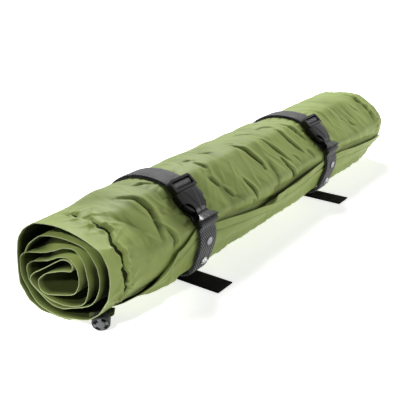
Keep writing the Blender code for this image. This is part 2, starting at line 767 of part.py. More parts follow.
def prong(side, hand, frame, look):
    """Model one sprung prong. Its origin is the root, where the moulding bends."""
    edges = lock_places()
    half, low, high = cavity_size()
    root_radius = PRONG_WIDTH / 2
    root_y = edges[5] + TOUCH + root_radius
    catch_y = WINDOW_START + SLIDE_FIT
    outer = half - SLIDE_FIT
    catch_x = outer + CATCH_REACH + SLIDE_FIT
    tip_y = root_y + PRONG_LENGTH
    button_end = WINDOW_START + WINDOW_LENGTH - SLIDE_FIT
    inner_x = PRONG_ROOT_X - root_radius
    outline = arc((PRONG_ROOT_X, root_y), root_radius, -180, 0, 8)
    outline += [(outer - 0.0006, catch_y - 0.0030), (outer - 0.0006, catch_y), (catch_x, catch_y + 0.0001)]
    outline += [(catch_x - 0.0003, (catch_y + button_end) / 2), (outer - 0.0004, button_end)]
    outline += [(outer - 0.0030, tip_y - 0.0014), (outer - 0.0048, tip_y)]
    outline += [(inner_x + 0.0010, tip_y - 0.0012), (inner_x + 0.0002, catch_y + 0.0020)]
    from_root = [(hand * (x - PRONG_ROOT_X), y - root_y) for x, y in outline]
    bm = bmesh.new()
    prism(bm, from_root, low + SLIDE_FIT, high - SLIDE_FIT)
    name = side + ("_prong_left" if hand > 0 else "_prong_right")
    made = finish(name, bm, look, math.radians(35))
    made.parent = frame
    made.location = (hand * PRONG_ROOT_X, root_y, 0.0)
    soften(made, 0.0003, 60)
    return made


def female_outline(mouth):
    """Return the right-hand edge of the female half, from its mouth to its end."""
    end = mouth + FEMALE_LENGTH
    waist = WINDOW_START + WINDOW_LENGTH + 0.0024
    flare = mouth + BODY_LENGTH - 0.0022
    edge = [(BUCKLE_HALF - 0.0008, mouth), (BUCKLE_HALF, mouth + 0.0020)]
    edge.append((BUCKLE_HALF, WINDOW_START + 0.0020))
    edge.append((BUCKLE_HALF - 0.0011, WINDOW_START + WINDOW_LENGTH * 0.75))
    edge += [(WAIST_HALF + 0.0004, waist - 0.0012), (WAIST_HALF, waist + 0.0010)]
    edge += [(WAIST_HALF + 0.0012, flare - 0.0016), (FLARE_HALF, flare + 0.0016)]
    return edge + arc((FLARE_HALF - FLARE_CORNER, end - FLARE_CORNER), FLARE_CORNER, 0, 90, 4)


def female_half(side, frame, look):
    """Model the female half: a shell with a mouth, two side windows, and the bar for the webbing."""
    mouth = lock_places()[-1] + TOUCH
    end = mouth + FEMALE_LENGTH
    half, low, high = cavity_size()
    edge = female_outline(mouth)
    bm = bmesh.new()
    face = bm.faces.new([bm.verts.new((x, y, 0.0)) for x, y in edge + [(-x, y) for x, y in reversed(edge)]])
    top = bmesh.ops.extrude_face_region(bm, geom=[face])["geom"]
    moved = [item for item in top if isinstance(item, bmesh.types.BMVert)]
    cap = [item for item in top if isinstance(item, bmesh.types.BMFace)]
    bmesh.ops.translate(bm, vec=(0, 0, FEMALE_THICK - CROWN_RISE), verts=moved)
    bmesh.ops.inset_region(bm, faces=cap, thickness=CROWN_RISE)
    crown = {vert for made in cap for vert in made.verts}
    for vert in crown:
        share = (vert.co.y - mouth) / FEMALE_LENGTH
        vert.co.z += CROWN_RISE * math.sin(math.pi * min(1.0, 0.18 + share * 0.80)) ** 0.7
    made = finish(side + "_buckle_female", bm, look, math.radians(35))
    made.parent = frame

    bm = bmesh.new()
    box(bm, (-half, mouth - BEYOND, low), (half, mouth + 0.0100, high))
    cutter(side + "_mouth", bm, made)
    bm = bmesh.new()
    depth = mouth + BODY_LENGTH - 0.0052
    narrow = WAIST_HALF - FEMALE_WALL
    inside = [(half, mouth + 0.0095), (half, WINDOW_START + WINDOW_LENGTH - 0.001), (narrow, depth - 0.0030),
              (narrow, depth)]
    prism(bm, inside + [(-x, y) for x, y in reversed(inside)], low, high)
    cutter(side + "_cavity", bm, made)
    for hand in (-1, 1):
        bm = bmesh.new()
        inner, outer = sorted((hand * (half - 0.0020), hand * (BUCKLE_HALF + BEYOND)))
        box(bm, (inner, WINDOW_START, low - 0.0003), (outer, WINDOW_START + WINDOW_LENGTH, high + 0.0003))
        cutter(side + ("_window_left" if hand > 0 else "_window_right"), bm, made)

    bar_u, bar_w = fold_bar_centre()
    slot_start = bar_u - FOLD_BAR / 2 - FOLD_SLOT
    bm = bmesh.new()
    box(bm, (-SLOT_HALF, slot_start, -BEYOND), (SLOT_HALF, end + BEYOND, FEMALE_THICK + BEYOND))
    cutter(side + "_fold_slot", bm, made)
    bm = bmesh.new()
    turn = Matrix.Rotation(math.pi / 2, 4, "Y")
    place = Matrix.Translation((0, bar_u, bar_w)) @ turn
    bmesh.ops.create_cone(bm, cap_ends=True, segments=12, radius1=FOLD_BAR / 2, radius2=FOLD_BAR / 2,
                          depth=2 * (SLOT_HALF + FOLD_BAR_ROOT), matrix=place)
    cutter(side + "_fold_bar", bm, made, "UNION")

    groove = [(0.0026, mouth + 0.0040), (0.0052, mouth + 0.0105), (0.0042, mouth + 0.0180)]
    groove.append((0.0, mouth + 0.0225))
    bm = bmesh.new()
    prism(bm, groove + [(-x, y) for x, y in reversed(groove[:-1])], FEMALE_THICK - GROOVE_DEPTH,
          FEMALE_THICK + BEYOND)
    cutter(side + "_thumb_groove", bm, made)
    return made


def corner_edge(x):
    """Return the middle of the mat's outer edge at a place on the side flange."""
    place = corner_turn(x, TURNS)
    level = place + (sheet_level(-1, x, TURNS) + sheet_level(1, x, TURNS)) / 2
    return Vector((x, *section_point(level, place)))


def valve_frame():
    """Place an empty on the valve's face, Z pointing out along its axis and X along the cut corner."""
    frame = bpy.data.objects.new("valve_frame", None)
    bpy.context.scene.collection.objects.link(frame)
    first, last = (corner_edge(VALVE_X + side * BOAT_LENGTH / 3) for side in (1, -1))
    along = (last - first).normalized()
    out = Vector((-along.y, along.x, -math.tan(VALVE_DROOP) * math.hypot(along.x, along.y))).normalized()
    along = (along - along.dot(out) * out).normalized()
    basis = Matrix((along, out.cross(along), out)).transposed()
    middle = corner_edge(VALVE_X)
    span = BOAT_LENGTH / 2 * abs(along.x)
    bow = max((corner_edge(VALVE_X + span * share) - middle).dot(out) for share in np.linspace(-1, 1, 9))
    place = middle + out * (VALVE_REACH + bow + EDGE_SEAM)
    frame.matrix_world = Matrix.Translation(place) @ basis.to_4x4()
    return frame


def valve_knob(frame, look):
    """Model the turning knob: a lobed cup with four air slots round its hub."""
    count = KNOB_LOBES * 4
    rim = []
    for index in range(count):
        angle = 2 * math.pi * index / count
        radius = KNOB_RADIUS - 0.00035 * (1 - math.cos(KNOB_LOBES * angle))
        rim.append((radius * math.cos(angle), radius * math.sin(angle)))
    bm = bmesh.new()
    face = bm.faces.new([bm.verts.new((x, y, -KNOB_LENGTH)) for x, y in rim])
    top = bmesh.ops.extrude_face_region(bm, geom=[face])["geom"]
    moved = [item for item in top if isinstance(item, bmesh.types.BMVert)]
    cap = [item for item in top if isinstance(item, bmesh.types.BMFace)]
    bmesh.ops.translate(bm, vec=(0, 0, KNOB_LENGTH - 0.0008), verts=moved)
    bmesh.ops.inset_region(bm, faces=cap, thickness=0.0010)
    bmesh.ops.translate(bm, vec=(0, 0, 0.0008), verts=list({v for made in cap for v in made.verts}))
    made = finish("valve_knob", bm, look, math.radians(35))
    made.parent = frame

    bore = VALVE_TUBE + SLIDE_FIT
    bm = bmesh.new()
    bmesh.ops.create_cone(bm, cap_ends=True, segments=24, radius1=bore, radius2=bore, depth=2 * BEYOND)
    bmesh.ops.translate(bm, vec=(0, 0, -KNOB_WALL - BEYOND), verts=bm.verts)
    cutter("knob_bore", bm, made)
    bm = bmesh.new()
    for quarter in range(4):
        middle = 45 + 90 * quarter
        ring = arc((0, 0), bore - 0.0002, middle - 30, middle + 30, 5)
        ring += arc((0, 0), KNOB_RADIUS * 0.43, middle + 27, middle - 27, 4)
        prism(bm, ring, -KNOB_WALL - 0.001, BEYOND)
    cutter("knob_slots", bm, made)
    return made


def valve_plunger(frame, look):
    """Model the plunger that the knob carries: a pin, and the disc that shuts the tube's mouth."""
    hub = -KNOB_WALL - TOUCH
    disc_low = hub - 0.0014
    bm = bmesh.new()
    pin_tip = disc_low - PIN_LENGTH
    disc = [(0, hub), (KNOB_RADIUS * 0.40, hub), (VALVE_TUBE - 0.0012, disc_low)]
    pin = [(VALVE_BORE - 0.0006, disc_low), (VALVE_BORE - 0.0008, pin_tip + 0.0020)]
    pin += [(0.0008, pin_tip), (0, pin_tip)]
    turned(bm, disc + pin, 20)
    made = finish("valve_plunger", bm, look, math.radians(40))
    made.parent = frame
    return made


def valve_seal(frame, look):
    """Model the rubber ring between the plunger's disc and the tube's mouth."""
    low = -KNOB_WALL - TOUCH - 0.0014 - TOUCH - 2 * SEAL_TUBE
    ring = (VALVE_BORE + VALVE_TUBE - 0.0002) / 2 - 0.0001
    bm = bmesh.new()
    section = arc((ring, low + SEAL_TUBE), SEAL_TUBE, 0, 360, 8)[:-1]
    turned(bm, section, 20)
    made = finish("valve_seal", bm, look, math.radians(60))
    made.parent = frame
    return low


def valve_body(frame, seal_low, look):
    """Model the welded body: a threaded tube and the boat-shaped foot welded into the mat's corner."""
    mouth = seal_low - TOUCH
    thread_end = -KNOB_LENGTH - 0.0008
    root = VALVE_TUBE - THREAD_DEPTH
    profile = [(VALVE_BORE, mouth), (root, mouth)]
    height = mouth - THREAD_DEPTH
    while height - THREAD_PITCH > thread_end:
        profile += [(VALVE_TUBE, height), (VALVE_TUBE, height - THREAD_PITCH * 0.375)]
        profile += [(root, height - THREAD_PITCH * 0.5625), (root, height - THREAD_PITCH * 0.8125)]
        height -= THREAD_PITCH
    foot = -VALVE_REACH + BOAT_DEPTH
    profile += [(root, foot - 0.0005), (VALVE_BORE, foot - 0.0005)]
    bm = bmesh.new()
    turned(bm, profile, 20)
    made = finish("valve_body", bm, look, math.radians(40))
    made.parent = frame

    half = BOAT_LENGTH / 2
    blunt = 0.0005
    hull = [(half * t, (BOAT_HEIGHT / 2 - blunt) * (1 - t * t) + blunt) for t in np.linspace(-1, 1, 13)]
    bm = bmesh.new()
    prism(bm, hull + [(x, -y) for x, y in reversed(hull)], -VALVE_REACH, foot)
    cutter("valve_boat", bm, made, "UNION")
    bm = bmesh.new()
    passage = BOAT_HEIGHT / 2 - 0.0010
    bmesh.ops.create_cone(bm, cap_ends=True, segments=16, radius1=passage, radius2=passage, depth=2 * BEYOND)
    bmesh.ops.translate(bm, vec=(0, 0, -VALVE_REACH), verts=bm.verts)
    cutter("valve_passage", bm, made)
    return made


def stand_on_origin():
    """Shift the whole part so that the centre of its footprint is the origin."""
    bpy.context.view_layer.update()
    graph = bpy.context.evaluated_depsgraph_get()
    corners = []
    for item in bpy.data.objects:
        if item.type == "MESH" and not item.hide_render:
            mesh = item.evaluated_get(graph).data
            corners += [item.matrix_world @ vert.co for vert in mesh.vertices]
    middle_x = (min(c.x for c in corners) + max(c.x for c in corners)) / 2
    middle_y = (min(c.y for c in corners) + max(c.y for c in corners)) / 2
    low = min(c.z for c in corners)
    for item in bpy.data.objects:
        if item.parent is None:
            item.location -= Vector((middle_x, middle_y, low))
    bpy.context.view_layer.update()


def build():
    """Build every piece of the rolled mat."""
    for old in list(bpy.data.objects):
        bpy.data.objects.remove(old, do_unlink=True)
    green = (0.30, 0.37, 0.10)
    fabric_sheet("mat_outer_sheet", 1, material("coated_fabric_outside", green, 0.55))
    fabric_sheet("mat_inner_sheet", -1, material("coated_fabric_inside", (0.27, 0.34, 0.10), 0.6))
    foam_core("mat_foam_core", material("open_cell_foam", (0.62, 0.60, 0.48), 0.9))
    black = (0.035, 0.035, 0.038)
    for side, strap_x in zip(("front", "rear"), STRAP_X):
        strap = webbing(side + "_strap", main_path(), strap_x, material(side + "_webbing", black, 0.75))
        webbing(side + "_strap_adjuster", adjuster_path(), strap_x,
                material(side + "_webbing_adjuster", black, 0.75))
        webbing(side + "_strap_tail", tail_path(), strap_x, material(side + "_webbing_tail", black, 0.8))
        metal = (0.62, 0.62, 0.64)
        rivet(side, strap, strap_x, {"shank": material(side + "_shank_steel", metal, 0.35, 1.0),
                                     "cap": material(side + "_cap_steel", metal, 0.3, 1.0)})
        snap_stud(side, strap, strap_x, {"eyelet": material(side + "_eyelet_steel", metal, 0.35, 1.0),
                                         "stud": material(side + "_stud_steel", metal, 0.25, 1.0)})
        frame = buckle_frame(side + "_buckle_frame", strap_x)
        male_half(side, frame, material(side + "_male_acetal", black, 0.35))
        for hand in (1, -1):
            prong(side, hand, frame, material(side + "_prong_acetal", black, 0.35))
        female_half(side, frame, material(side + "_female_acetal", black, 0.35))
    frame = valve_frame()
    bpy.context.view_layer.update()
    grey = (0.10, 0.10, 0.105)
    valve_knob(frame, material("knob_plastic", grey, 0.45))
    valve_plunger(frame, material("plunger_plastic", (0.05, 0.05, 0.05), 0.4))
    low = valve_seal(frame, material("seal_rubber", (0.02, 0.02, 0.02), 0.7))
    valve_body(frame, low, material("valve_plastic", black, 0.45))
    stand_on_origin()


build()
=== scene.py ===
"""Rolled self-inflating sleeping mat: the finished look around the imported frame.

X runs along the roll, the valve is at the -X end and the buckles face -Y. Metres, +Z up.
"""
import json
import logging
import math
from collections.abc import Callable, Iterator
from contextlib import contextmanager
from dataclasses import dataclass, field
from enum import Enum

import bmesh
import bpy
import numpy as np
from mathutils import Euler, Matrix, Vector


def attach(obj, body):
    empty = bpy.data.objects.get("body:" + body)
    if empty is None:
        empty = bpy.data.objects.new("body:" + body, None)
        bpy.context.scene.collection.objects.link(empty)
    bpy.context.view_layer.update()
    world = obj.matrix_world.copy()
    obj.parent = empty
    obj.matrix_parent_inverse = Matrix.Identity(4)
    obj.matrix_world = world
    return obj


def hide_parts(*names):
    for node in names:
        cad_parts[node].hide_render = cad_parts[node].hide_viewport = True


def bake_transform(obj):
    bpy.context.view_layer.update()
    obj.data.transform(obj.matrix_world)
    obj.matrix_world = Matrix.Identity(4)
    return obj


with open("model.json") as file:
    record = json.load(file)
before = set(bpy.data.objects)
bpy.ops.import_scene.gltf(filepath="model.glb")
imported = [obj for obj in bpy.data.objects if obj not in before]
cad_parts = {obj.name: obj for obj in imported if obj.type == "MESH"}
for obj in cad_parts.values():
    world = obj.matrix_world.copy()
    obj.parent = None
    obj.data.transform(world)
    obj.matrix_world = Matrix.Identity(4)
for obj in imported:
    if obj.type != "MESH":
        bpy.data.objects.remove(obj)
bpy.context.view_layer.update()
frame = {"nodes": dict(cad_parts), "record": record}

LOG = logging.getLogger("sleeping_mat")
MM = 0.001
TAU = 2 * math.pi
TINY = 1e-6

Array = np.ndarray
Number = float | np.ndarray
Finish = bpy.types.Material
Piece = bpy.types.Object
Pair = tuple[float, float]
Triple = tuple[float, float, float]
Quad = tuple[float, float, float, float]
Table = tuple[Pair, ...]
Test = Callable[[Vector, Vector], bool]


def linear(code: str) -> Quad:
    """Turn an sRGB hex colour into the linear values that Blender's sockets hold.

    Args:
        code: the colour, such as "#a0b46e".

    Returns:
        Red, green, blue and an alpha of 1.
    """
    parts = [int(code[i:i + 2], 16) / 255 for i in (1, 3, 5)]
    made = [p / 12.92 if p <= 0.04045 else ((p + 0.055) / 1.055) ** 2.4 for p in parts]
    return (*made, 1.0)


def add_node(tree: bpy.types.NodeTree, kind: str, inputs: dict | None = None,
             **settings: object) -> bpy.types.Node:
    """Add one shader node with its settings, values and links.

    Args:
        tree: the material's node tree.
        kind: the node's type, without its ShaderNode prefix.
        inputs: socket name or index to a value, or to the output socket that feeds it.
        settings: the node's own properties.

    Returns:
        The new node.
    """
    node = tree.nodes.new("ShaderNode" + kind)
    for key, value in settings.items():
        setattr(node, key, value)
    for key, value in (inputs or {}).items():
        if isinstance(value, bpy.types.NodeSocket):
            tree.links.new(value, node.inputs[key])
        else:
            node.inputs[key].default_value = value
    return node


def waves_per_metre(spacing: float) -> float:
    """Return the Wave texture's scale for bands a given distance apart, in metres."""
    return TAU / (20 * spacing)


def new_material(name: str) -> tuple[Finish, bpy.types.NodeTree, bpy.types.Node]:
    """Start a material.

    Args:
        name: the material's name.

    Returns:
        The material, its node tree and its Principled shader.
    """
    made = bpy.data.materials.new(name)
    made.use_nodes = True
    tree = made.node_tree
    return made, tree, tree.nodes["Principled BSDF"]


@dataclass(frozen=True)
class CoatedPolyester:
    """Polyester plain weave with a coated face: satin, slightly mottled, pale where its edge is cut.

    The coating gives a soft broad sheen and the weave below it a faint grid. Painted shade darkens the
    colour in the folds and the deep inner turns, and takes the lustre away there.
    """

    name: str = "coated_polyester_lime"
    colour: str = "#9fb064"
    deep: str = "#92a358"
    cut_edge: str = "#aab880"
    # The colour that painted shade darkens the fabric to, in the folds and the deep inner turns.
    fold: str = "#1b210b"
    # The real threads lie about 0.3 mm apart. They are drawn coarser, because they would not show.
    thread: float = 1.1 * MM
    mottle: float = 35 * MM
    crinkle: float = 7 * MM
    edge_from: float = 285.9 * MM
    gloss: Pair = (0.48, 0.64)
    lustre: Pair = (0.27, 0.01)
    sheen: Pair = (0.05, 0.4)

    def make(self) -> Finish:
        """Build the material; its UV map is in metres, across and along the cloth.

        Returns:
            The material.
        """
        made, tree, shader = new_material(self.name)
        place = add_node(tree, "UVMap").outputs["UV"]
        across = add_node(tree, "TexWave", {"Vector": place, "Scale": waves_per_metre(self.thread)})
        along = add_node(tree, "TexWave", {"Vector": place, "Scale": waves_per_metre(self.thread)},
                         bands_direction="Y")
        weave = add_node(tree, "Math", {0: across.outputs["Fac"], 1: along.outputs["Fac"]},
                         operation="MULTIPLY")
        body = add_node(tree, "TexCoord").outputs["Object"]
        mottle = add_node(tree, "TexNoise", {"Vector": body, "Scale": 1 / self.mottle, "Detail": 4.0})
        shade = add_node(tree, "MapRange", {"Value": mottle.outputs["Fac"], "From Min": 0.35,
                                            "From Max": 0.65})
        tint = add_node(tree, "Mix", {"Factor": shade.outputs["Result"], 6: linear(self.deep),
                                      7: linear(self.colour)}, data_type="RGBA")
        # The cut edge is paler than the face, because the coating ends there.
        split = add_node(tree, "SeparateXYZ", {0: place})
        far = add_node(tree, "Math", {0: split.outputs["X"]}, operation="ABSOLUTE")
        edge = add_node(tree, "Math", {0: far.outputs[0], 1: self.edge_from}, operation="GREATER_THAN")
        worn = add_node(tree, "Mix", {"Factor": edge.outputs[0], 6: tint.outputs[2],
                                      7: linear(self.cut_edge)}, data_type="RGBA")
        # Painted shade: the attribute is 1 in the depth of a fold or a deep inner turn, where the colour is
        # darkened to the fold colour and the lustre is taken away.
        shaded = add_node(tree, "Attribute", attribute_name="shade")
        deepened = add_node(tree, "Mix", {"Factor": shaded.outputs["Fac"], 6: worn.outputs[2],
                                          7: linear(self.fold)}, data_type="RGBA")
        tree.links.new(deepened.outputs[2], shader.inputs["Base Color"])
        fine = add_node(tree, "TexNoise", {"Vector": body, "Scale": 1 / self.crinkle, "Detail": 3.0})
        gloss = add_node(tree, "MapRange", {"Value": fine.outputs["Fac"], "To Min": self.gloss[0],
                                            "To Max": self.gloss[1]})
        tree.links.new(gloss.outputs["Result"], shader.inputs["Roughness"])
        lustre = add_node(tree, "MapRange", {"Value": shaded.outputs["Fac"], "To Min": self.lustre[0],
                                             "To Max": self.lustre[1]})
        tree.links.new(lustre.outputs["Result"], shader.inputs["Specular IOR Level"])
        shader.inputs["Sheen Weight"].default_value = self.sheen[0]
        shader.inputs["Sheen Roughness"].default_value = self.sheen[1]
        soft = add_node(tree, "Bump", {"Height": fine.outputs["Fac"], "Strength": 0.35, "Distance": 0.8 * MM})
        bump = add_node(tree, "Bump", {"Height": weave.outputs[0], "Strength": 0.30, "Distance": 0.10 * MM,
                                       "Normal": soft.outputs["Normal"]})
        tree.links.new(bump.outputs["Normal"], shader.inputs["Normal"])
        return made


@dataclass(frozen=True)
class TwillWebbing:
    """Woven polypropylene webbing: slanted twill ribs with a dull lustre on each thread."""

    name: str = "webbing_black_twill"
    colour: str = "#48484b"
    deep: str = "#0a0a0b"
    shine: float = 0.6
    # The real ribs lie about 1 mm apart and the threads 0.4 mm. Both are drawn coarser, so that they show.
    rib: float = 2.2 * MM
    thread: float = 0.9 * MM
    slant: float = math.radians(38)
    wear: float = 9 * MM
    gloss: Pair = (0.50, 0.72)
    sheen_roughness: float = 0.25

    def make(self) -> Finish:
        """Build the material; its UV map is in metres, across and along the webbing.

        Returns:
            The material.
        """
        made, tree, shader = new_material(self.name)
        place = add_node(tree, "UVMap").outputs["UV"]
        slant = add_node(tree, "Mapping", {"Vector": place, "Rotation": (0.0, 0.0, self.slant)})
        ribs = add_node(tree, "TexWave", {"Vector": slant.outputs["Vector"], "Distortion": 0.4,
                                          "Scale": waves_per_metre(self.rib), "Detail Scale": 2.0})
        threads = add_node(tree, "TexWave", {"Vector": place, "Scale": waves_per_metre(self.thread)},
                           bands_direction="Y")
        pattern = add_node(tree, "Math", {0: ribs.outputs["Fac"], 1: threads.outputs["Fac"]},
                           operation="MULTIPLY")
        tint = add_node(tree, "Mix", {"Factor": ribs.outputs["Fac"], 6: linear(self.deep),
                                      7: linear(self.colour)}, data_type="RGBA")
        tree.links.new(tint.outputs[2], shader.inputs["Base Color"])
        worn = add_node(tree, "TexNoise", {"Vector": place, "Scale": 1 / self.wear, "Detail": 3.0})
        gloss = add_node(tree, "MapRange", {"Value": worn.outputs["Fac"], "To Min": self.gloss[0],
                                            "To Max": self.gloss[1]})
        tree.links.new(gloss.outputs["Result"], shader.inputs["Roughness"])
        shader.inputs["Specular IOR Level"].default_value = self.shine
        shader.inputs["Sheen Weight"].default_value = self.shine
        shader.inputs["Sheen Roughness"].default_value = self.sheen_roughness
        bump = add_node(tree, "Bump", {"Height": pattern.outputs[0], "Strength": 0.9, "Distance": 0.5 * MM})
        tree.links.new(bump.outputs["Normal"], shader.inputs["Normal"])
        return made


@dataclass(frozen=True)
class Moulded:
    """A smooth hard part, acetal as moulded unless it is told otherwise.

    The flow in the mould leaves faint clouds of gloss, and the tool's fine texture breaks the reflections.
    The same make serves the plated steel of the rivets and studs, with its metallic share.
    """

    name: str = "acetal_black_moulded"
    colour: str = "#090909"
    scuffed: str = "#101011"
    gloss: Pair = (0.19, 0.31)
    grain: float = 1.2 * MM
    depth: float = 0.04 * MM
    metallic: float = 0.0
    shine: float = 0.31
    flow: float = 11 * MM

    def make(self) -> Finish:
        """Build the material on the piece's own coordinates.

        Returns:
            The material.
        """
        made, tree, shader = new_material(self.name)
        body = add_node(tree, "TexCoord").outputs["Object"]
        flow = add_node(tree, "TexNoise", {"Vector": body, "Scale": 1 / self.flow, "Detail": 2.0})
        tint = add_node(tree, "Mix", {"Factor": flow.outputs["Fac"], 6: linear(self.colour),
                                      7: linear(self.scuffed)}, data_type="RGBA")
        tree.links.new(tint.outputs[2], shader.inputs["Base Color"])
        grain = add_node(tree, "TexNoise", {"Vector": body, "Scale": 1 / self.grain, "Detail": 3.0})
        gloss = add_node(tree, "MapRange", {"Value": flow.outputs["Fac"], "To Min": self.gloss[0],
                                            "To Max": self.gloss[1]})
        tree.links.new(gloss.outputs["Result"], shader.inputs["Roughness"])
        shader.inputs["Metallic"].default_value = self.metallic
        shader.inputs["Specular IOR Level"].default_value = self.shine
        bump = add_node(tree, "Bump", {"Height": grain.outputs["Fac"], "Strength": 0.5,
                                       "Distance": self.depth})
        tree.links.new(bump.outputs["Normal"], shader.inputs["Normal"])
        return made


def ease(value: Number, low: float, high: float) -> Number:
    """Step smoothly from 0 to 1.

    Args:
        value: a number or an array.
        low: where the step leaves 0.
        high: where it reaches 1.

    Returns:
        The share at each value.
    """
    share = np.clip((np.asarray(value, float) - low) / (high - low), 0.0, 1.0)
    return share * share * (3 - 2 * share)


def hump(value: Number, width: float | Array, power: float = 2) -> Number:
    """Return a bell of height 1 at 0, for a number or an array; a higher power makes it squarer."""
    return np.exp(-np.abs(value / width) ** power)


def wave(angle: Array, count: float, phase: float) -> Array:
    """Return a sine that goes round the roll a number of times; angle and phase are in degrees."""
    return np.sin(np.radians(angle * count + phase))


def from_table(table: Table, value: Number) -> Number:
    """Return what a table of (place, value) rows holds at a place, for a number or an array."""
    return np.interp(value, *np.array(table, float).T)


def run_lengths(points: Array) -> Array:
    """Return how far along their line each of a row of points lies."""
    return np.r_[0, np.cumsum(np.linalg.norm(np.diff(points, axis=0), axis=1))]


def smooth_curve(points: Array, count: int) -> Array:
    """Return evenly spaced points of a Catmull-Rom curve through the given ones.

    Args:
        points: the points to pass through, one a row.
        count: how many points to return.

    Returns:
        The curve's points.
    """
    padded = np.vstack([2 * points[0] - points[1], points, 2 * points[-1] - points[-2]])
    share = np.linspace(0, 1, 12, endpoint=False)[:, None]
    runs = []
    for a, b, c, d in zip(padded, padded[1:], padded[2:], padded[3:]):
        runs.append(0.5 * (2 * b + (c - a) * share + (2 * a - 5 * b + 4 * c - d) * share ** 2
                           + (3 * b - a - 3 * c + d) * share ** 3))
    dense = np.vstack(runs + [points[-1:]])
    length = run_lengths(dense)
    at = np.linspace(0, length[-1], count)
    return np.stack([np.interp(at, length, dense[:, k]) for k in range(dense.shape[1])], 1)


def new_object(name: str, mesh: bpy.types.Mesh) -> Piece:
    """Put a mesh into the scene at the origin.

    Args:
        name: the object's name.
        mesh: its mesh.

    Returns:
        The new object.
    """
    made = bpy.data.objects.new(name, mesh)
    bpy.context.scene.collection.objects.link(made)
    return made


def write_painted_shade(mesh: bpy.types.Mesh, shade: Array) -> None:
    """Store the painted shade of each point, from 0 to 1, for the fabric's material: the dark of a fold or a
    deep inner turn.
    """
    mesh.attributes.new("shade", "FLOAT", "POINT").data.foreach_set("value", shade.astype(np.float32))


def new_piece(name: str, verts: Array | list, faces: list, finish: Finish, uvs: Array | None = None,
              sharp: float = 45.0, shade: Array | None = None) -> Piece:
    """Make a mesh object at the origin with smooth shading, its material and its UV map.

    Args:
        name: the piece's name.
        verts: points in metres.
        faces: lists of point numbers.
        finish: the material.
        uvs: a (u, v) for each point, in metres.
        sharp: the angle in degrees above which an edge stays sharp.
        shade: the painted shade of each point, from 0 to 1.

    Returns:
        The new object.
    """
    mesh = bpy.data.meshes.new(name)
    mesh.from_pydata([tuple(v) for v in verts], [], faces)
    if shade is not None:
        write_painted_shade(mesh, shade)
    if uvs is not None:
        corners = np.zeros(len(mesh.loops), dtype=np.int32)
        mesh.loops.foreach_get("vertex_index", corners)
        mesh.uv_layers.new(name="cloth").data.foreach_set("uv", uvs[corners].astype(np.float32).ravel())
    mesh.materials.append(finish)
    mesh.shade_smooth()
    mesh.set_sharp_from_angle(angle=math.radians(sharp))
    return new_object(name, mesh)


def face_outwards(piece: Piece) -> None:
    """Turn a closed piece's faces outwards.

    Args:
        piece: the piece, changed in place.
    """
    bm = bmesh.new()
    bm.from_mesh(piece.data)
    bmesh.ops.recalc_face_normals(bm, faces=bm.faces)
    bm.to_mesh(piece.data)
    bm.free()


def report(piece: Piece) -> None:
    """Log a finished piece."""
    LOG.info("%s: %d faces", piece.name, len(piece.data.polygons))


@dataclass(frozen=True)
class Winding:
    """The section of the rolled mat, in levels counted outwards from its heart."""

    turns: float = 4.5
    middle: Pair = (8.73 * MM, 51.18 * MM)
    core: Pair = (20.44 * MM, 11.37 * MM)
    pitch: Pair = (7.5 * MM, 7.0 * MM)
    end_angle: float = math.radians(182)
    power_top: float = 2.1
    power_base: float = 2.4
    flat_base: float = 0.985
    buckle_seat: float = 43.7 * MM
    buckle_tilt: float = math.radians(40)
    seat_level: float = 4.62
    seat_blend: float = 0.05
    no_limit: float = 9.0
    level_inner: float = 0.045
    level_outer: float = 0.92
    level_pressed: float = 0.58
    level_flange: float = 0.48
    level_end: float = 0.10
    half_sheet: float = 0.042
    half_width: float = 286.5 * MM
    weld: float = 262.0 * MM
    body: float = 240.0 * MM
    far_fuller: float = 17.0 * MM
    end_flange: float = 0.075
    end_taper: float = 0.055
    corner_start: float = 203.0 * MM
    corner_cut: float = 0.24
    corner_power: float = 0.88

    def angle(self, turn: Number) -> Number:
        """Return the angle about the roll at a turn."""
        return self.end_angle + TAU * (self.turns - turn)

    def section(self, level: Number, turn: Number, proud: Number = 0.0) -> tuple[Array, Array]:
        """Place a level of the winding: a superellipse with a flat base and a flat seat for the buckles.

        Args:
            level: levels out from the heart.
            turn: turns from the inner end.
            proud: how far the place stands off its level, in metres.

        Returns:
            The y and z of each place.
        """
        turned = self.angle(turn)
        c, s = np.cos(turned), np.sin(turned)
        half_y = self.core[0] + self.pitch[0] * level
        half_z = self.core[1] + self.pitch[1] * level
        power = np.where(s >= 0, self.power_top, self.power_base)
        reach = (np.abs(c) ** power + np.abs(s) ** power) ** (-1 / power)
        reach = np.where(s < 0, np.minimum(reach, self.flat_base / np.maximum(-s, TINY)), reach)
        out_y, out_z = -math.sin(self.buckle_tilt), math.cos(self.buckle_tilt)
        facing = out_y * half_y * c + out_z * half_z * s
        outer = [core + pitch * self.seat_level for core, pitch in zip(self.core, self.pitch)]
        seat = self.buckle_seat / math.hypot(outer[0] * out_y, outer[1] * out_z)
        support = np.hypot(half_y * out_y, half_z * out_z)
        limit = np.where(facing > 0, seat * support / np.maximum(facing, TINY), self.no_limit)
        blend = np.clip(0.5 + 0.5 * (limit - reach) / self.seat_blend, 0, 1)
        reach = limit + (reach - limit) * blend - self.seat_blend * blend * (1 - blend)
        return (self.middle[0] + (half_y + proud) * reach * c, self.middle[1] + (half_z + proud) * reach * s)

    def filled(self, x: Number) -> Number:
        """Return 1 over the filled body of the mat and 0 on its welded side flanges."""
        return 1 - ease(np.abs(x) - self.far_fuller * (np.asarray(x) > 0), self.body, self.weld)


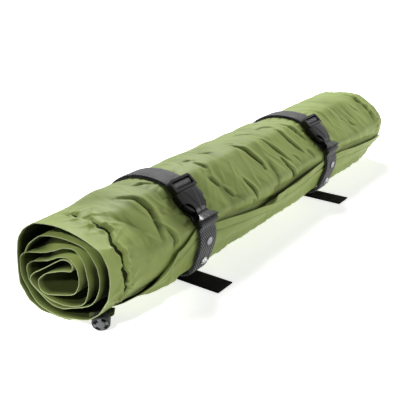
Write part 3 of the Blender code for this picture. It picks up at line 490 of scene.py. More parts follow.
@dataclass(frozen=True)
class Rim:
    """The free edge at the near end: the mat is folded in two and rolled up from the fold.

    Each list holds (y, z) in mm. The lower one runs from the half that ends inside the roll to the fold,
    and the upper one from the fold to the outer end.
    """

    inner_half: Table = (
        (59.0, 53.0), (57.9, 55.6), (53.9, 62.7), (49.3, 67.6), (44, 71.2), (34, 75), (23, 78), (11.6, 79.7),
        (4, 80), (-6, 79.5), (-16.3, 77.8), (-20.3, 75.2), (-24.2, 71.6), (-30.2, 63.8), (-32.4, 54),
        (-32, 48.2), (-30.7, 42.8), (-26.6, 33.6), (-22.3, 28.1), (-18.6, 25), (-8.4, 19.6), (3, 15),
        (13.7, 10.8), (20.8, 9.8), (27.9, 10), (35, 12.2), (44, 17), (53, 22.4), (55.8, 26.5), (57.5, 35.8),
        (56.7, 40), (53.2, 43.6), (48.4, 46.5), (38, 49.5), (28.5, 52.8), (16.2, 59.2), (6, 62.2),
        (2.4, 62.2), (-1.2, 59.5), (-3.6, 57.4), (-6.3, 53.6), (-7.1, 48.7), (-6.8, 43), (-5.9, 38.2),
        (-3.7, 35.3), (-0.6, 31.7), (7, 28), (14.5, 24.6), (23, 21.3), (31.7, 18.7), (38, 18.5), (41.7, 20),
        (43.6, 23.5), (43.8, 27.7), (42.1, 31.3), (34.6, 38), (28.5, 41.2), (20, 44.5), (12, 47.4),
        (3.7, 49.3))
    outer_half: Table = (
        (1, 50.6), (-0.3, 53.6), (0, 56.8), (3, 58.9), (6.7, 59.3), (10.8, 58.6), (15.6, 56.5), (25, 50),
        (34, 44), (43.3, 38), (48, 35.6), (53, 30.5), (54.1, 28.2), (54, 25.6), (52, 22.6), (44.8, 18.2),
        (33.5, 15.4), (25, 14.9), (10.8, 15.9), (3.7, 18.2), (-8.8, 23.4), (-11.6, 25.9), (-14.1, 29.3),
        (-16.3, 34.4), (-17.7, 40.3), (-18, 46.4), (-17.3, 52), (-16.2, 58.2), (-14.6, 63.6), (-11.9, 66.9),
        (-6.3, 71.5), (-2.9, 72.6), (2.4, 72), (9.6, 70), (20.1, 64.4), (30, 60.5), (40.7, 57.3), (50, 55),
        (55.2, 53.4), (60, 51.1), (63, 47.8), (64.5, 44.3), (64.6, 37), (64.1, 30.1), (63.1, 26.5),
        (60.7, 22.3), (56, 16), (51.4, 9.8), (47.4, 6.4), (41.8, 4.2), (33.7, 2.8), (25.6, 2.0), (17, 2.3),
        (8, 4), (-0.8, 5.9), (-9, 8), (-17, 11.1), (-28.5, 19.7), (-34, 27), (-37.9, 33.2), (-40.8, 38),
        (-43.7, 50.6), (-44.1, 56.9), (-43.4, 64.2), (-42.1, 68.8), (-36.6, 77.6), (-33.1, 79.9), (-22, 84),
        (-12, 86.8), (-1.9, 88.8), (7, 89.6), (15, 89.5), (28.3, 87.8), (41.2, 85.1), (50.1, 79.6),
        (55.5, 75.3), (61.7, 66.8), (63.7, 61.4), (66.2, 49.5), (66.8, 42.5), (67, 32), (65.1, 20.4),
        (62.2, 15.6), (58.2, 11.2), (53.7, 7.8), (47, 4.8), (41, 2.4), (33, 0.9), (25.7, 0.5), (17.1, 0.6),
        (8, 2), (-0.2, 4.1), (-10, 7.3), (-20.6, 13), (-31, 22.5), (-39.5, 36), (-44.6, 48))
    centre: Pair = (11.4, 45.4)
    half: Pair = (55.0, 44.8)
    step: float = 0.5
    soften: int = 12
    first_lap: float = 2.0

    def trace(self) -> tuple[Array, Array, int]:
        """Smooth the edge and count its laps.

        Returns:
            The edge in mm, its lap from the roll's +Y side, and the fold's place in it.
        """
        route = np.array(self.inner_half + self.outer_half, float)
        length = run_lengths(route)
        at = np.arange(0, length[-1], self.step)
        dense = np.stack([np.interp(at, length, route[:, k]) for k in (0, 1)], 1)
        for _ in range(self.soften):
            dense[1:-1] = (dense[:-2] + 2 * dense[1:-1] + dense[2:]) / 4
        across, up = ((dense[:, k] - self.centre[k]) / self.half[k] for k in (0, 1))
        spun = -np.unwrap(np.arctan2(up, across)) / TAU
        fold = int(np.searchsorted(at, length[len(self.inner_half) - 1]))
        lap = np.zeros(len(spun))
        lap[:fold] = self.first_lap + spun[0] - round(spun[0]) + spun[:fold] - spun[0]
        across, up = ((self.outer_half[-1][k] - self.centre[k]) / self.half[k] for k in (0, 1))
        lap[fold:] = self.first_lap + (-math.atan2(up, across) / TAU) % 1.0 + (spun[fold:] - spun[-1])
        return dense, lap, fold


@dataclass
class Stations:
    """The rows of the wound mat, from the end inside the roll, through the fold, to the outer end.

    turn gives each row's angle, level its distance out, outward is 1 or -1 as the mat's first face points
    out or in, kept falls to 0 on the end flanges, inside is 1 at the fold, full is the level that the fill
    reaches, rim is the edge in metres, and the rows from fine_from on have all the columns.
    """

    turn: Array
    level: Array
    outward: Array
    kept: Array
    inside: Array
    full: Array
    rim: Array
    fine_from: int


@dataclass(frozen=True)
class Ripples:
    """Random waves in the fabric: how many, their wavelengths and height in mm, and their steepest slant."""

    count: int
    shortest: float
    longest: float
    height: float
    slope: float = 0.5

    def draw(self, random: np.random.Generator) -> list[Quad]:
        """Draw the waves.

        Args:
            random: the generator of random numbers.

        Returns:
            For each wave the rate along and round the roll, the phase and the height in mm.
        """
        made = []
        for _ in range(self.count):
            size = random.uniform(self.shortest, self.longest)
            slant = random.uniform(-self.slope, self.slope)
            made.append((TAU / size * math.cos(slant), TAU / size * math.sin(slant),
                         random.uniform(0, TAU), self.height * random.uniform(0.5, 1.0)))
        return made


@dataclass(frozen=True)
class Crease:
    """One fold of the outer fabric: where it runs, and how wide and deep it is.

    The route holds (mm along the roll, degrees round it), and the other sizes are in mm, but ridge, which
    is the crest's share of the depth.
    """

    route: Table
    width: float = 3.0
    depth: float = 1.2
    ridge: float = 0.7

    def press(self, x: Array, s: Array, per_degree: float, lap: float) -> Array:
        """Return the fabric's rise at points given along and round the roll, in mm.

        Args:
            x: places along the roll in mm.
            s: places round the roll in mm.
            per_degree: mm of the surface for a degree round the roll.
            lap: degrees by which the fold is turned back.

        Returns:
            The rise at each point, negative in the fold.
        """
        route = np.array([(px, (pa - lap) * per_degree) for px, pa in self.route])
        rise = np.zeros(x.shape)
        reach = 5 * self.width
        box = ((x > route[:, 0].min() - reach) & (x < route[:, 0].max() + reach)
               & (s > route[:, 1].min() - reach) & (s < route[:, 1].max() + reach))
        if not box.any():
            return rise
        x, s = x[box], s[box]
        lengths = np.linalg.norm(np.diff(route, axis=0), axis=1)
        best = np.full(x.shape, np.inf)
        side = np.zeros(x.shape)
        share = np.zeros(x.shape)
        done = 0.0
        for start, end, length in zip(route, route[1:], lengths):
            run = (end - start) / length
            along = np.clip((x - start[0]) * run[0] + (s - start[1]) * run[1], 0, length)
            dx, ds = x - start[0] - along * run[0], s - start[1] - along * run[1]
            gap = np.hypot(dx, ds)
            nearer = gap < best
            best = np.where(nearer, gap, best)
            side = np.where(nearer, np.sign(dx * run[1] - ds * run[0]), side)
            share = np.where(nearer, (done + along) / lengths.sum(), share)
            done += length
        # The fold narrows and fades towards both its ends.
        taper = np.clip(np.sin(math.pi * (0.05 + 0.90 * share)), 0, 1) ** 0.6
        width = self.width * (0.25 + 0.40 * taper)
        groove = hump(best, width, 1.1)
        crest = 0.6 * hump(best * side - 2.4 * width, 2.0 * width)
        rise[box] = self.depth * taper * (self.ridge * crest - groove)
        return rise


@dataclass
class Mat:
    """The mat itself: two welded sheets over a foam core, folded in two and rolled up.

    In the tables, places along the roll are in mm from its middle, places round it in degrees, and heights
    in mm. Laps and levels are counted in turns of the winding. The outer fabric has broad waves, broken
    ridges and a faint crinkle, the traced creases, small ones scattered over it or drawn in by the straps,
    and a puckered ring with pleats at each end. Painted shade runs from 0, plain, to 1, the dark painted
    into a fold or a deep inner turn, where shade would fall.
    """

    cloth: CoatedPolyester = CoatedPolyester()
    winding: Winding = Winding()
    rim: Rim = Rim()
    fill: float = 0.7
    face_step: float = 1.15 * MM
    even_until: float = 226 * MM
    end_columns: int = 57
    coarse_columns: int = 9
    outer_step: float = 1.1
    inner_step: float = 3.0
    fine_from: float = 3.34
    per_degree: float = 0.92
    heart_share: float = 0.62
    heart_centre: Pair = (24.0 * MM, 38.0 * MM)
    half_thick: Pair = (0.35, 1.7)
    last_lap: Pair = (3.9, 4.0)
    outside: Pair = (3.36, 3.46)
    ring_end: Pair = (4.28, 4.40)
    lap_start: Pair = (4.30, 4.36)
    end_weld: Pair = (0.032, 0.0035)
    hidden_rows: int = 8
    strap_half: float = 12.5
    straps: Pair = (-158.9, 106.8)
    strap_clear: float = 20.0
    broad_waves: Ripples = Ripples(14, 34, 90, 0.20)
    broken_ridges: Ripples = Ripples(10, 24, 44, 0.8, 0.35)
    faint_crinkle: Ripples = Ripples(16, 11, 22, 0.05)
    scattered: int = 170
    scattered_along: Pair = (-228, 235)
    scattered_round: Pair = (-95, 265)
    traced_round: Pair = (60, 190)
    strap_folds: int = 30
    strap_folds_from: float = -95
    strap_folds_apart: float = 12
    pleats: int = 38
    pleats_from: float = -100
    deepened: float = 1.25
    swelling: Pair = (1.7, 0.6)
    flap_radius: float = 46 * MM
    # Painted shade: how dark the inner turns get facing in and facing out, how much painted light the faces
    # that look up keep, the fold depth at which the outer folds reach full painted shade, and the most of it.
    painted_shade_in: float = 0.97
    painted_shade_out: float = 0.94
    painted_light_out: float = 0.84
    painted_shade_depth: float = 3.2 * MM
    painted_shade_max: float = 0.80
    slope_from: float = 3.4
    levels_outer: Table = (
        (0, 0.7), (0.25, 1.2), (0.5, 1.5), (0.75, 1.75), (1, 2.35), (1.25, 3.15), (1.42, 3.42), (2.6, 4.6))
    levels_inner: Table = (
        (0, 0.1), (0.25, 0.25), (0.5, 0.5), (0.75, 0.75), (1, 1.45), (1.25, 2.15), (1.5, 2.5),
        (1.75, 2.75), (2.05, 3.25))
    flap_height: Table = (
        (-290, 30), (-262, 33), (-229, 47), (-202, 54), (-185, 57), (-172, 60), (-150, 57), (-119, 53),
        (-91, 48), (-59, 44), (-38, 41.5), (-31, 41.5), (-28.5, 48.5), (18, 47.5), (61, 52), (105, 53),
        (145, 52), (186, 47), (250, 42), (290, 38))
    flap_lift: Table = (
        (-290, 0.5), (-250, 3.5), (-215, 1.5), (-177, 1.0), (-172, 0.0), (-146, 0.0), (-140, 1.0),
        (-110, 1.4), (-60, 2.0), (-36, 3.8), (-20, 3.8), (-8, 2.2), (50, 2.0), (88, 1.2), (94, 0.0),
        (120, 0.0), (126, 1.2), (170, 1.6), (240, 2.0), (290, 1.0))
    creases: tuple[Crease, ...] = (
        Crease(((-41, 96), (-39, 101), (-33, 112), (-26, 136), (-27, 148)), 2.4, 3.0),
        Crease(((-70, 143), (-69, 150), (-66, 163), (-62, 178)), 2.2, 3.0),
        Crease(((5, 108), (10, 119), (20, 147), (24, 154)), 2.2, 2.0),
        Crease(((-118, 84), (-112, 88), (-104, 96)), 1.8, 1.2),
        Crease(((-110, 98), (-106, 112)), 2.8, 2.0),
        Crease(((-113, 122), (-108, 138)), 2.8, 2.0),
        Crease(((-104, 142), (-101, 158)), 2.8, 1.8),
        Crease(((-14, 138), (-15, 150), (-17, 175)), 4.0, 1.6),
        Crease(((-88, 82), (-80, 86), (-70, 94)), 1.7, 1.2),
        Crease(((-12, 80), (-2, 84), (10, 94)), 1.7, 1.2),
        Crease(((-192, 86), (-184, 90), (-175, 98)), 1.8, 1.8),
        Crease(((-222, 96), (-212, 106), (-207, 124), (-211, 146), (-216, 160)), 3.2, 2.8),
        Crease(((-205, 150), (-202, 168), (-206, 181), (-215, 183)), 2.4, 2.4),
        Crease(((-246, 112), (-236, 128), (-228, 148)), 7.0, 1.6),
        Crease(((11, 143), (12, 158), (20, 177), (38, 190)), 2.6, 3.4),
        Crease(((42, 104), (47, 124), (57, 152)), 2.6, 2.4),
        Crease(((66, 96), (74, 118), (80, 140)), 2.8, 2.0),
        Crease(((26, 86), (36, 90), (46, 100)), 1.7, 1.2),
        Crease(((66, 150), (72, 170)), 3.0, 1.8),
        Crease(((140, 92), (150, 110), (152, 132)), 3.6, 1.1),
        Crease(((176, 100), (186, 124)), 4.0, 0.6),
        Crease(((205, 118), (212, 150)), 5.0, 0.6),
        Crease(((230, 86), (236, 108)), 4.0, 0.6),
        Crease(((250, 100), (258, 134), (252, 160)), 3.2, 2.2),
    )
    ring_knots: Table = (
        (81, 1.2), (87, 0.9), (99, 0.3), (106, 0.6), (115, 1.2), (122, 4.4), (132, 2.8), (141, 4.0),
        (150, 5.0), (160, 5.2), (171, 4.4), (180, 5.0), (190, 4.0), (201, 3.0), (216, 2.0), (240, 1.6),
        (262, 0.8), (290, 0.9), (318, 1.0), (345, 0.7), (372, 0.9), (398, 1.2))
    random: np.random.Generator = field(default_factory=lambda: np.random.default_rng(11))

    def stations(self) -> Stations:
        """Place the mat's rows along the traced edge, close together where the outside shows.

        Returns:
            The rows.
        """
        wind = self.winding
        edge, lap, fold = self.rim.trace()
        spacing = np.where((np.arange(len(lap)) > fold) & (lap > self.fine_from - 2.02), self.outer_step,
                           self.inner_step)
        spent = np.cumsum(self.rim.step / spacing)
        picked = np.searchsorted(spent, np.arange(spent[0], spent[-1] + 1e-9, 1.0))
        picked = np.unique(np.r_[picked[picked < len(lap)], len(lap) - 1])
        rim, lap = edge[picked] * MM, lap[picked]
        outer = picked > fold
        last_outer, last_inner = wind.turns - 2, lap[0]
        grown = lap[outer]
        # The last half lap is stretched, so that it ends where the solids' outer end does.
        stretch = (last_outer - 1.9) / (grown[-1] - 1.9)
        lap[outer] = np.where(grown > 1.9, 1.9 + (grown - 1.9) * stretch, grown)
        lap = np.maximum(lap, 0.0)
        to_end = np.where(outer, last_outer - lap, last_inner - lap)
        bulging = (wind.level_outer - wind.level_pressed) * ease(lap, 1.30, 1.42)
        turn = lap + 2
        return Stations(
            turn=turn,
            level=np.where(outer, from_table(self.levels_outer, lap), from_table(self.levels_inner, lap)),
            outward=np.where(outer, 1.0, -1.0),
            kept=ease(to_end, wind.end_flange, wind.end_flange + wind.end_taper),
            inside=1 - np.where(outer, ease(lap, 0.10, 0.45), ease(lap, 0.12, 0.45)),
            full=np.where(outer, wind.level_pressed + bulging, wind.level_pressed),
            rim=rim,
            fine_from=int(np.argmax(outer & (turn >= self.fine_from))))

    def columns(self) -> tuple[Array, Array]:
        """Place the mat's columns along the roll.

        Returns:
            The places of the fine rows' columns, and which of them the coarse rows keep.
        """
        half, even = self.winding.half_width, self.even_until
        inside = np.arange(-even, even + TINY, 2 * even / round(2 * even / self.face_step))
        edge = np.linspace(even, half, self.end_columns)[1:]
        fine = np.r_[-edge[::-1], inside, edge]
        kept = [i for i, x in enumerate(fine) if abs(x) > even - TINY]
        coarse = np.linspace(-even, even, self.coarse_columns)[1:-1]
        kept += [int(np.argmin(np.abs(fine - x))) for x in coarse]
        return fine, np.array(sorted(set(kept)))

    def scattered_creases(self) -> list[Crease]:
        """Draw the small folds over the whole roll, fewer on the side with the traced ones.

        Returns:
            The folds.
        """
        made = []
        for _ in range(self.scattered):
            x, a = self.random.uniform(*self.scattered_along), self.random.uniform(*self.scattered_round)
            keep = 0.40 if self.traced_round[0] < a < self.traced_round[1] else 0.9
            long, slant = self.random.uniform(6, 22), self.random.uniform(-0.6, 0.6)
            width, depth = self.random.uniform(1.6, 3.0), self.random.uniform(0.4, 1.5)
            bend = self.random.uniform(-5, 5)
            by_strap = min(abs(x - strap) for strap in self.straps) < self.strap_clear
            if self.random.uniform() > keep or by_strap:
                continue
            made.append(Crease(((x, a), (x + bend + slant * long, a + long / 2),
                                (x + 2 * slant * long, a + long)), width, depth))
        return made

    def strap_creases(self) -> list[Crease]:
        """Draw the short folds that the straps pull into the fabric on both their sides.

        Returns:
            The folds.
        """
        made = []
        for strap in self.straps:
            for side in (-1, 1):
                for index in range(self.strap_folds):
                    a = self.strap_folds_from + self.strap_folds_apart * index + self.random.uniform(-4, 4)
                    long, lean = self.random.uniform(7, 17), self.random.uniform(-7, 7)
                    start = strap + side * self.strap_half
                    made.append(Crease(((start, a), (start + side * long * 0.5, a + lean * 0.3),
                                        (start + side * long, a + lean)),
                                       self.random.uniform(1.4, 2.6), self.random.uniform(0.5, 1.3), 0.5))
        return made

    def free_of_straps(self, x: Array, margin: float, reach: float) -> Array:
        """Tell the fabric under the straps from the rest.

        Args:
            x: places along the roll in mm.
            margin: how far from a strap's edge its hold starts to fade, in mm.
            reach: how far from it the hold ends.

        Returns:
            0 under the straps and 1 away from them.
        """
        share = np.ones(np.shape(x))
        for strap in self.straps:
            share = share * ease(np.abs(x - strap) - self.strap_half, margin, reach)
        return share

    def swell(self, x: Array, turn: Array) -> Array:
        """Swell the filled mat between the straps, with a valley where it meets the flap.

        Args:
            x: places along the roll in metres.
            turn: turns from the inner end.

        Returns:
            The rise at each place in metres.
        """
        wind = self.winding
        under = np.clip(-np.sin(wind.angle(turn)), 0, 1)
        rounded = (1 - ease(-x, 175 * MM, wind.weld)) * wind.filled(x)
        free = self.free_of_straps(x / MM, 2.0, 50.0)
        past = turn - (wind.turns - 1) - self.flap_shift(x)
        deep = 0.4 + 2.2 * ease(x / MM, self.straps[0], self.straps[0] + 40)
        valley = deep * hump(past - 0.012, 0.016) * free * wind.filled(x)
        high, lost = self.swelling
        return (free * rounded * (high - lost * under) * ease(past, -0.01, 0.03) - valley) * MM

    def relief(self, x: Array, turn: Array) -> Array:
        """Raise the folds of the outer fabric off the swollen mat.

        Args:
            x: places along the roll in metres.
            turn: turns from the inner end.

        Returns:
            The rise at each place in metres.
        """
        angle = np.degrees(self.winding.angle(turn)) - 360
        body = self.winding.filled(x)
        x = x / MM
        s = angle * self.per_degree
        free = self.free_of_straps(x, 0.0, 12.0)
        rise = np.zeros(x.shape)
        for kx, ks, phase, high in self.broad_waves.draw(self.random):
            rise += high * np.sin(kx * x + ks * s + phase) * free
        for kx, ks, phase, high in self.broken_ridges.draw(self.random):
            bent = phase + 1.3 * np.sin(s / 17 + 2 * phase) + 0.8 * np.sin(x / 23 + phase)
            mask = np.clip(np.sin(x / 31 + 3 * phase) * np.sin(s / 27 + 5 * phase) + 0.15, 0, 1)
            rise += high * mask * (1 - np.abs(np.sin((kx * x + ks * s + bent) / 2))) ** 5 * free
        for kx, ks, phase, high in self.faint_crinkle.draw(self.random):
            rise += high * np.sin(kx * x + ks * s + phase) * free
        folds = np.zeros(x.shape)
        for crease in self.creases:
            for lap in (0, 360):
                folds += self.deepened * crease.press(x, s, self.per_degree, lap)
        for crease in self.scattered_creases() + self.strap_creases():
            for lap in (0, 360):
                folds += crease.press(x, s, self.per_degree, lap)
        past = turn - (self.winding.turns - 1) - self.flap_shift(x * MM)
        folds = folds * ease(self.winding.turns - turn, 0.004, 0.03)
        rise += folds * ease(np.min([np.abs(x - strap) for strap in self.straps], axis=0), 11.0, 14.0)
        # The fabric lies calmer on top, where the photograph's silhouette is even.
        rise = rise * (1 - 0.55 * hump(angle - 38, 17))
        return rise * (0.35 + 0.65 * body) * MM * ease(past, 0.004, 0.03)

    def ring_relief(self, x: Array, turn: Array, far: bool) -> Array:
        """Pucker the fabric along the welded ring at one end.

        Args:
            x: places along the roll in metres.
            turn: turns from the inner end.
            far: whether it is the +X end, which is calmer.

        Returns:
            The rise at each place in metres.
        """
        angle = np.degrees(self.winding.angle(turn)) - 360
        x = (x if far else -x) / MM
        weld = self.winding.weld / MM + (3.0 if far else 0.5 + 5.5 * ease(angle, 112, 150))
        wander = 1.6 * wave(angle, 5, 40) + 1.0 * wave(angle, 11, 10)
        wander = wander + 1.1 * np.arcsin(wave(angle, 16, 30))
        base = 1.0 + 0.7 * wave(angle, 7, 0) + 0.6 * wave(angle, 17, 60)
        if not far:
            base = base * (0.10 + 0.90 * ease(np.abs(angle - 62), 45, 60))
            base = base * (1 - 0.55 * ease(-angle, 0, 25) * ease(angle, -140, -115))
        knots = np.zeros(angle.shape)
        for place, deep in self.ring_knots:
            for lap in (0, 360):
                knots += deep * hump((angle - place + lap) * self.per_degree, 4.0) * (0.3 if far else 1.0)
        depth = np.maximum(base, 0) + self.deepened * knots
        off = x - weld - wander
        wide = (1.2 + 0.16 * depth) * (1 + 0.45 * wave(angle, 13, 50))
        groove = -depth * hump(off, wide, 1.5)
        lip = 0.55 * depth * hump(off + 4.5, 3.0) + 0.3 * depth * hump(off - 4.0, 2.2)
        fade = hump(np.maximum(off, 0), 15) * hump(np.minimum(off, 0), 14)
        fade = fade if far else fade * (1 - 0.9 * hump(angle - 48, 26))
        spread = 1.0 + 0.10 * np.abs(off)
        pleated = np.zeros(x.shape)
        for index in range(self.pleats):
            place = self.pleats_from + 360 * index / self.pleats + self.random.uniform(-4, 4)
            height, slant = self.random.uniform(0.8, 3.4), self.random.uniform(-0.8, 0.8)
            for lap in (-360, 0, 360):
                gap = (angle - place + lap) * self.per_degree - slant * off
                pleated += height * hump(gap, spread, 1.5) * fade * (1 - 0.8 * hump(off, 2.2))
        return (groove + lip + (0.45 if far else 0.8) * pleated) * MM

    def flap_shift(self, x: Array) -> Array:
        """Turn the outer end's height on the front into a shift along the winding.

        Args:
            x: places along the roll in metres.

        Returns:
            How many turns the end runs past or short of its plain place.
        """
        wind = self.winding
        sine = (from_table(self.flap_height, x / MM) * MM - wind.middle[1]) / self.flap_radius
        shift = (np.arcsin(np.clip(sine, -0.9, 0.9)) - math.pi + wind.end_angle) / TAU
        return shift * (1 - ease(-x, wind.corner_start - 30 * MM, wind.corner_start))

    def outer_edge(self, fine: Array, x: Array, t: Array) -> tuple[Array, Array]:
        """Shape the outer end: cut away at the valve's corner, uneven and lifted along the front.

        Args:
            fine: the columns' places along the roll.
            x: the same for each point.
            t: each point's turn.

        Returns:
            How many turns each point moves, and how far it stands off in metres.
        """
        wind = self.winding
        share = np.maximum(0.0, (-x - wind.corner_start) / (wind.half_width - wind.corner_start))
        moved = -wind.corner_cut * share ** wind.corner_power * ease(t, wind.turns - 0.5, wind.turns)
        moved = moved + self.flap_shift(fine)[None, :] * ease(t, wind.turns - 0.16, wind.turns)
        proud = from_table(self.flap_lift, fine / MM)[None, :] * MM * ease(t, wind.turns - 0.10, wind.turns)
        return moved, np.maximum(proud, 2 * MM * ease(-moved * 16, 0, 0.5) * (share > 0))

    def painted_inner_shade(self, x: Array, t: Array, out: Array) -> Array:
        """Paint shade into the inner turns away from their edges, less where a face looks up into the light,
        and into the first rows of the inner end.

        Args:
            x: places along the roll in metres.
            t: turns from the inner end.
            out: 1 in the rows whose face looks outwards and -1 in the others.

        Returns:
            The shade at each point.
        """
        depth = self.winding.half_width - np.abs(x)
        lit = ease(np.sin(self.winding.angle(t)), 0.25, 0.90)
        painted_looking_out = (self.painted_shade_out - self.painted_light_out * lit) * ease(depth, -1 * MM, 8 * MM)
        shade = np.where(out > 0, painted_looking_out, self.painted_shade_in * ease(depth, -5 * MM, 6 * MM))
        hidden = (np.arange(len(t)) < self.hidden_rows)[:, None]
        return np.where(hidden, np.maximum(shade, self.painted_shade_in * ease(depth, 1 * MM, 5 * MM)), shade)

    def drawn_to_rim(self, points: tuple[Array, Array], place: Array, fine: Array, rows: Stations,
                     core: Array, out: Array) -> tuple[Array, Array, Array]:
        """Draw the mat's ends to the traced edge.

        Args:
            points: the y and z of each point.
            place: each point's turn, with the outer end's shift.
            fine: the columns' places along the roll.
            rows: the stations.
            core: each station's place in the filled body.
            out: 1 in the rows whose face looks outwards and -1 in the others.

        Returns:
            The new y and z, and how far each point moves in from the roll's end.
        """
        wind = self.winding
        inner = (1 - ease(rows.level, 1.0, 3.6))[:, None]
        start = wind.body - 35 * MM + 50 * MM * np.maximum(inner, 1 - ease(rows.turn, 3.2, 3.5)[:, None])
        share = np.clip((np.abs(fine)[None, :] - start) / (wind.half_width - start), 0, 1)
        reach = np.where(fine < 0, 1.0, 0.40)[None, :] * share * share * (3 - 2 * share)
        drop = rows.rim - core
        drops = [np.repeat(drop[:, k:k + 1], len(fine), 1) for k in (0, 1)]
        end = np.flatnonzero((rows.outward > 0) & (rows.turn > 3.8))
        for k in (0, 1):
            drops[k][end] = np.interp(place[end], rows.turn[end], drop[end, k])
        flutter = sum(np.sin(rows.turn * TAU * rate + rate * 5) for rate in (2.3, 3.7, 5.9)) / 3
        recess = 1.8 * MM * inner + 0.6 * MM * flutter[:, None]
        y = points[0] + drops[0] * reach
        return y, np.maximum(points[1] + drops[1] * reach, (0.45 - 0.15 * out) * MM), recess * reach ** 3

    def surface(self, face: int, fine: Array, rows: Stations, core: Array) -> Array:
        """Return the (row, column, xyz and painted shade) points of one face of the mat.

        Args:
            face: 1 for the face that ends up outside the roll, -1 for the other.
            fine: the columns' places along the roll.
            rows: the stations.
            core: each station's place in the filled body.

        Returns:
            The face's points.
        """
        wind = self.winding
        x, t = np.meshgrid(fine, rows.turn)
        shown = (rows.outward > 0)[:, None]
        last = shown * ease(t, *self.last_lap)
        moved, proud = self.outer_edge(fine, x, t)
        moved, proud = moved * last, proud * last
        out = (rows.outward * face)[:, None]
        shade = self.painted_inner_shade(x, t, out)
        filled = np.repeat(wind.filled(fine)[None, :], len(rows.turn), 0)
        if face > 0:
            seen = shown * ease(t, *self.outside)
            ring = self.ring_relief(x, t, False) * (x < 0) + self.ring_relief(x, t, True) * (x > 0)
            ring = ring * ease(t, *self.outside) * (1 - ease(t, *self.ring_end))
            folds = self.relief(x, t) * np.maximum(rows.kept, 0.25)[:, None]
            weld_line = -1.0 * MM * hump(wind.turns - t - self.end_weld[0], self.end_weld[1])
            proud = proud + (self.swell(x, t) + folds + ring + weld_line) * shown
            # Painted shade in the folds, the puckered ring and the weld line of the outer face, where shade
            # falls.
            pressed = np.clip(-(folds + ring + weld_line) / self.painted_shade_depth, 0, self.painted_shade_max)
            shade = shade * (1 - seen) + pressed * seen
            sloped = 1 - ease(-x, wind.body - 45 * MM, wind.weld + 4 * MM)
            filled = np.where((x < 0) & shown & (t > self.slope_from), sloped, filled)
        else:
            proud = proud + self.swell(x, t) * last * ease(t, *self.lap_start)
        middle = (wind.level_end + (wind.level_flange - wind.level_end) * rows.kept)[:, None]
        flange = middle + out * wind.half_sheet
        bulk = np.where(out > 0, wind.level_end + (rows.full[:, None] - wind.level_end) * rows.kept[:, None]
                        + wind.half_sheet, wind.level_inner - wind.half_sheet)
        offset = flange + (bulk - flange) * filled
        y, z = wind.section(rows.level[:, None] + moved + offset, t + moved, proud)
        normal = np.gradient(core, axis=0)
        normal /= np.linalg.norm(normal, axis=1)[:, None]
        thin, thick = self.half_thick
        half = (thin + (thick - thin) * wind.filled(fine))[None, :] * MM * face
        inside = rows.inside[:, None]
        y = y * (1 - inside) + (core[:, :1] - normal[:, 1:] * half) * inside
        z = z * (1 - inside) + (core[:, 1:] + normal[:, :1] * half) * inside
        y, z, recess = self.drawn_to_rim((y, z), t + moved, fine, rows, core, out)
        return np.stack([x - np.sign(x) * recess, y, z, shade], 2)

    def build(self) -> Piece:
        """Wind the mat as one closed body.

        Returns:
            The mat.
        """
        wind = self.winding
        rows = self.stations()
        fine, kept = self.columns()
        plain = np.stack(wind.section(rows.level + wind.level_flange, rows.turn), 1)
        heart = np.array(wind.middle) + self.heart_share * (rows.rim - np.array(self.heart_centre))
        core = plain + (heart - plain) * rows.inside[:, None]
        grids = {face: self.surface(face, fine, rows, core) for face in (1, -1)}
        return self.stitch(fine, kept, rows, grids)

    def stitch(self, fine: Array, kept: Array, rows: Stations, grids: dict[int, Array]) -> Piece:
        """Join the two faces, the cut edges and the ends into one closed mesh.

        Args:
            fine: the columns' places along the roll.
            kept: the columns that the coarse rows keep.
            rows: the stations.
            grids: each face's points.

        Returns:
            The mat.
        """
        verts, uvs, numbers = [], [], {}
        lengths = run_lengths(grids[1][:, len(fine) // 2, :3])
        total = 0
        for face in (1, -1):
            numbers[face] = []
            for index, along in enumerate(lengths):
                cols = np.arange(len(fine)) if face > 0 and index >= rows.fine_from else kept
                numbers[face].append((total + np.arange(len(cols)), cols))
                verts.append(grids[face][index][cols])
                uvs.append(np.stack([fine[cols], np.full(len(cols), along)], 1))
                total += len(cols)
        faces = []
        for face in (1, -1):
            for low, high in zip(numbers[face], numbers[face][1:]):
                faces += self.band(*low, *high)
        for end in (0, -1):
            faces += self.band(*numbers[1][end], *numbers[-1][end])
        for row in range(len(lengths) - 1):
            for end in (0, -1):
                faces.append([int(numbers[face][r][0][end]) for face, r in
                              ((1, row), (1, row + 1), (-1, row + 1), (-1, row))])
        points = np.vstack(verts)
        made = new_piece("sleeping_mat", points[:, :3], faces, self.cloth.make(), np.vstack(uvs), 60.0,
                         points[:, 3])
        face_outwards(made)
        return made

    @staticmethod
    def band(low: Array, low_cols: Array, high: Array, high_cols: Array) -> list[list[int]]:
        """Lay the faces between two rows, one of which may keep only some of the columns.

        Args:
            low: the first row's point numbers.
            low_cols: its columns.
            high: the second row's point numbers.
            high_cols: its columns.

        Returns:
            The faces' point numbers.
        """
        if len(low) > len(high):
            low, low_cols, high, high_cols = high, high_cols, low, low_cols
        at = {int(c): i for i, c in enumerate(high_cols)}
        faces = []
        for index in range(len(low) - 1):
            first, last = at[int(low_cols[index])], at[int(low_cols[index + 1])]
            faces.append([int(low[index + 1]), int(low[index])] + [int(i) for i in high[first:last + 1]])
        return faces

    def dress(self, mat: Piece) -> None:
        """Say what the mat rides on and what it stands for.

        Args:
            mat: the mat.
        """
        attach(mat, "root")
        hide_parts("mat_outer_sheet", "mat_inner_sheet", "mat_foam_core")
        report(mat)


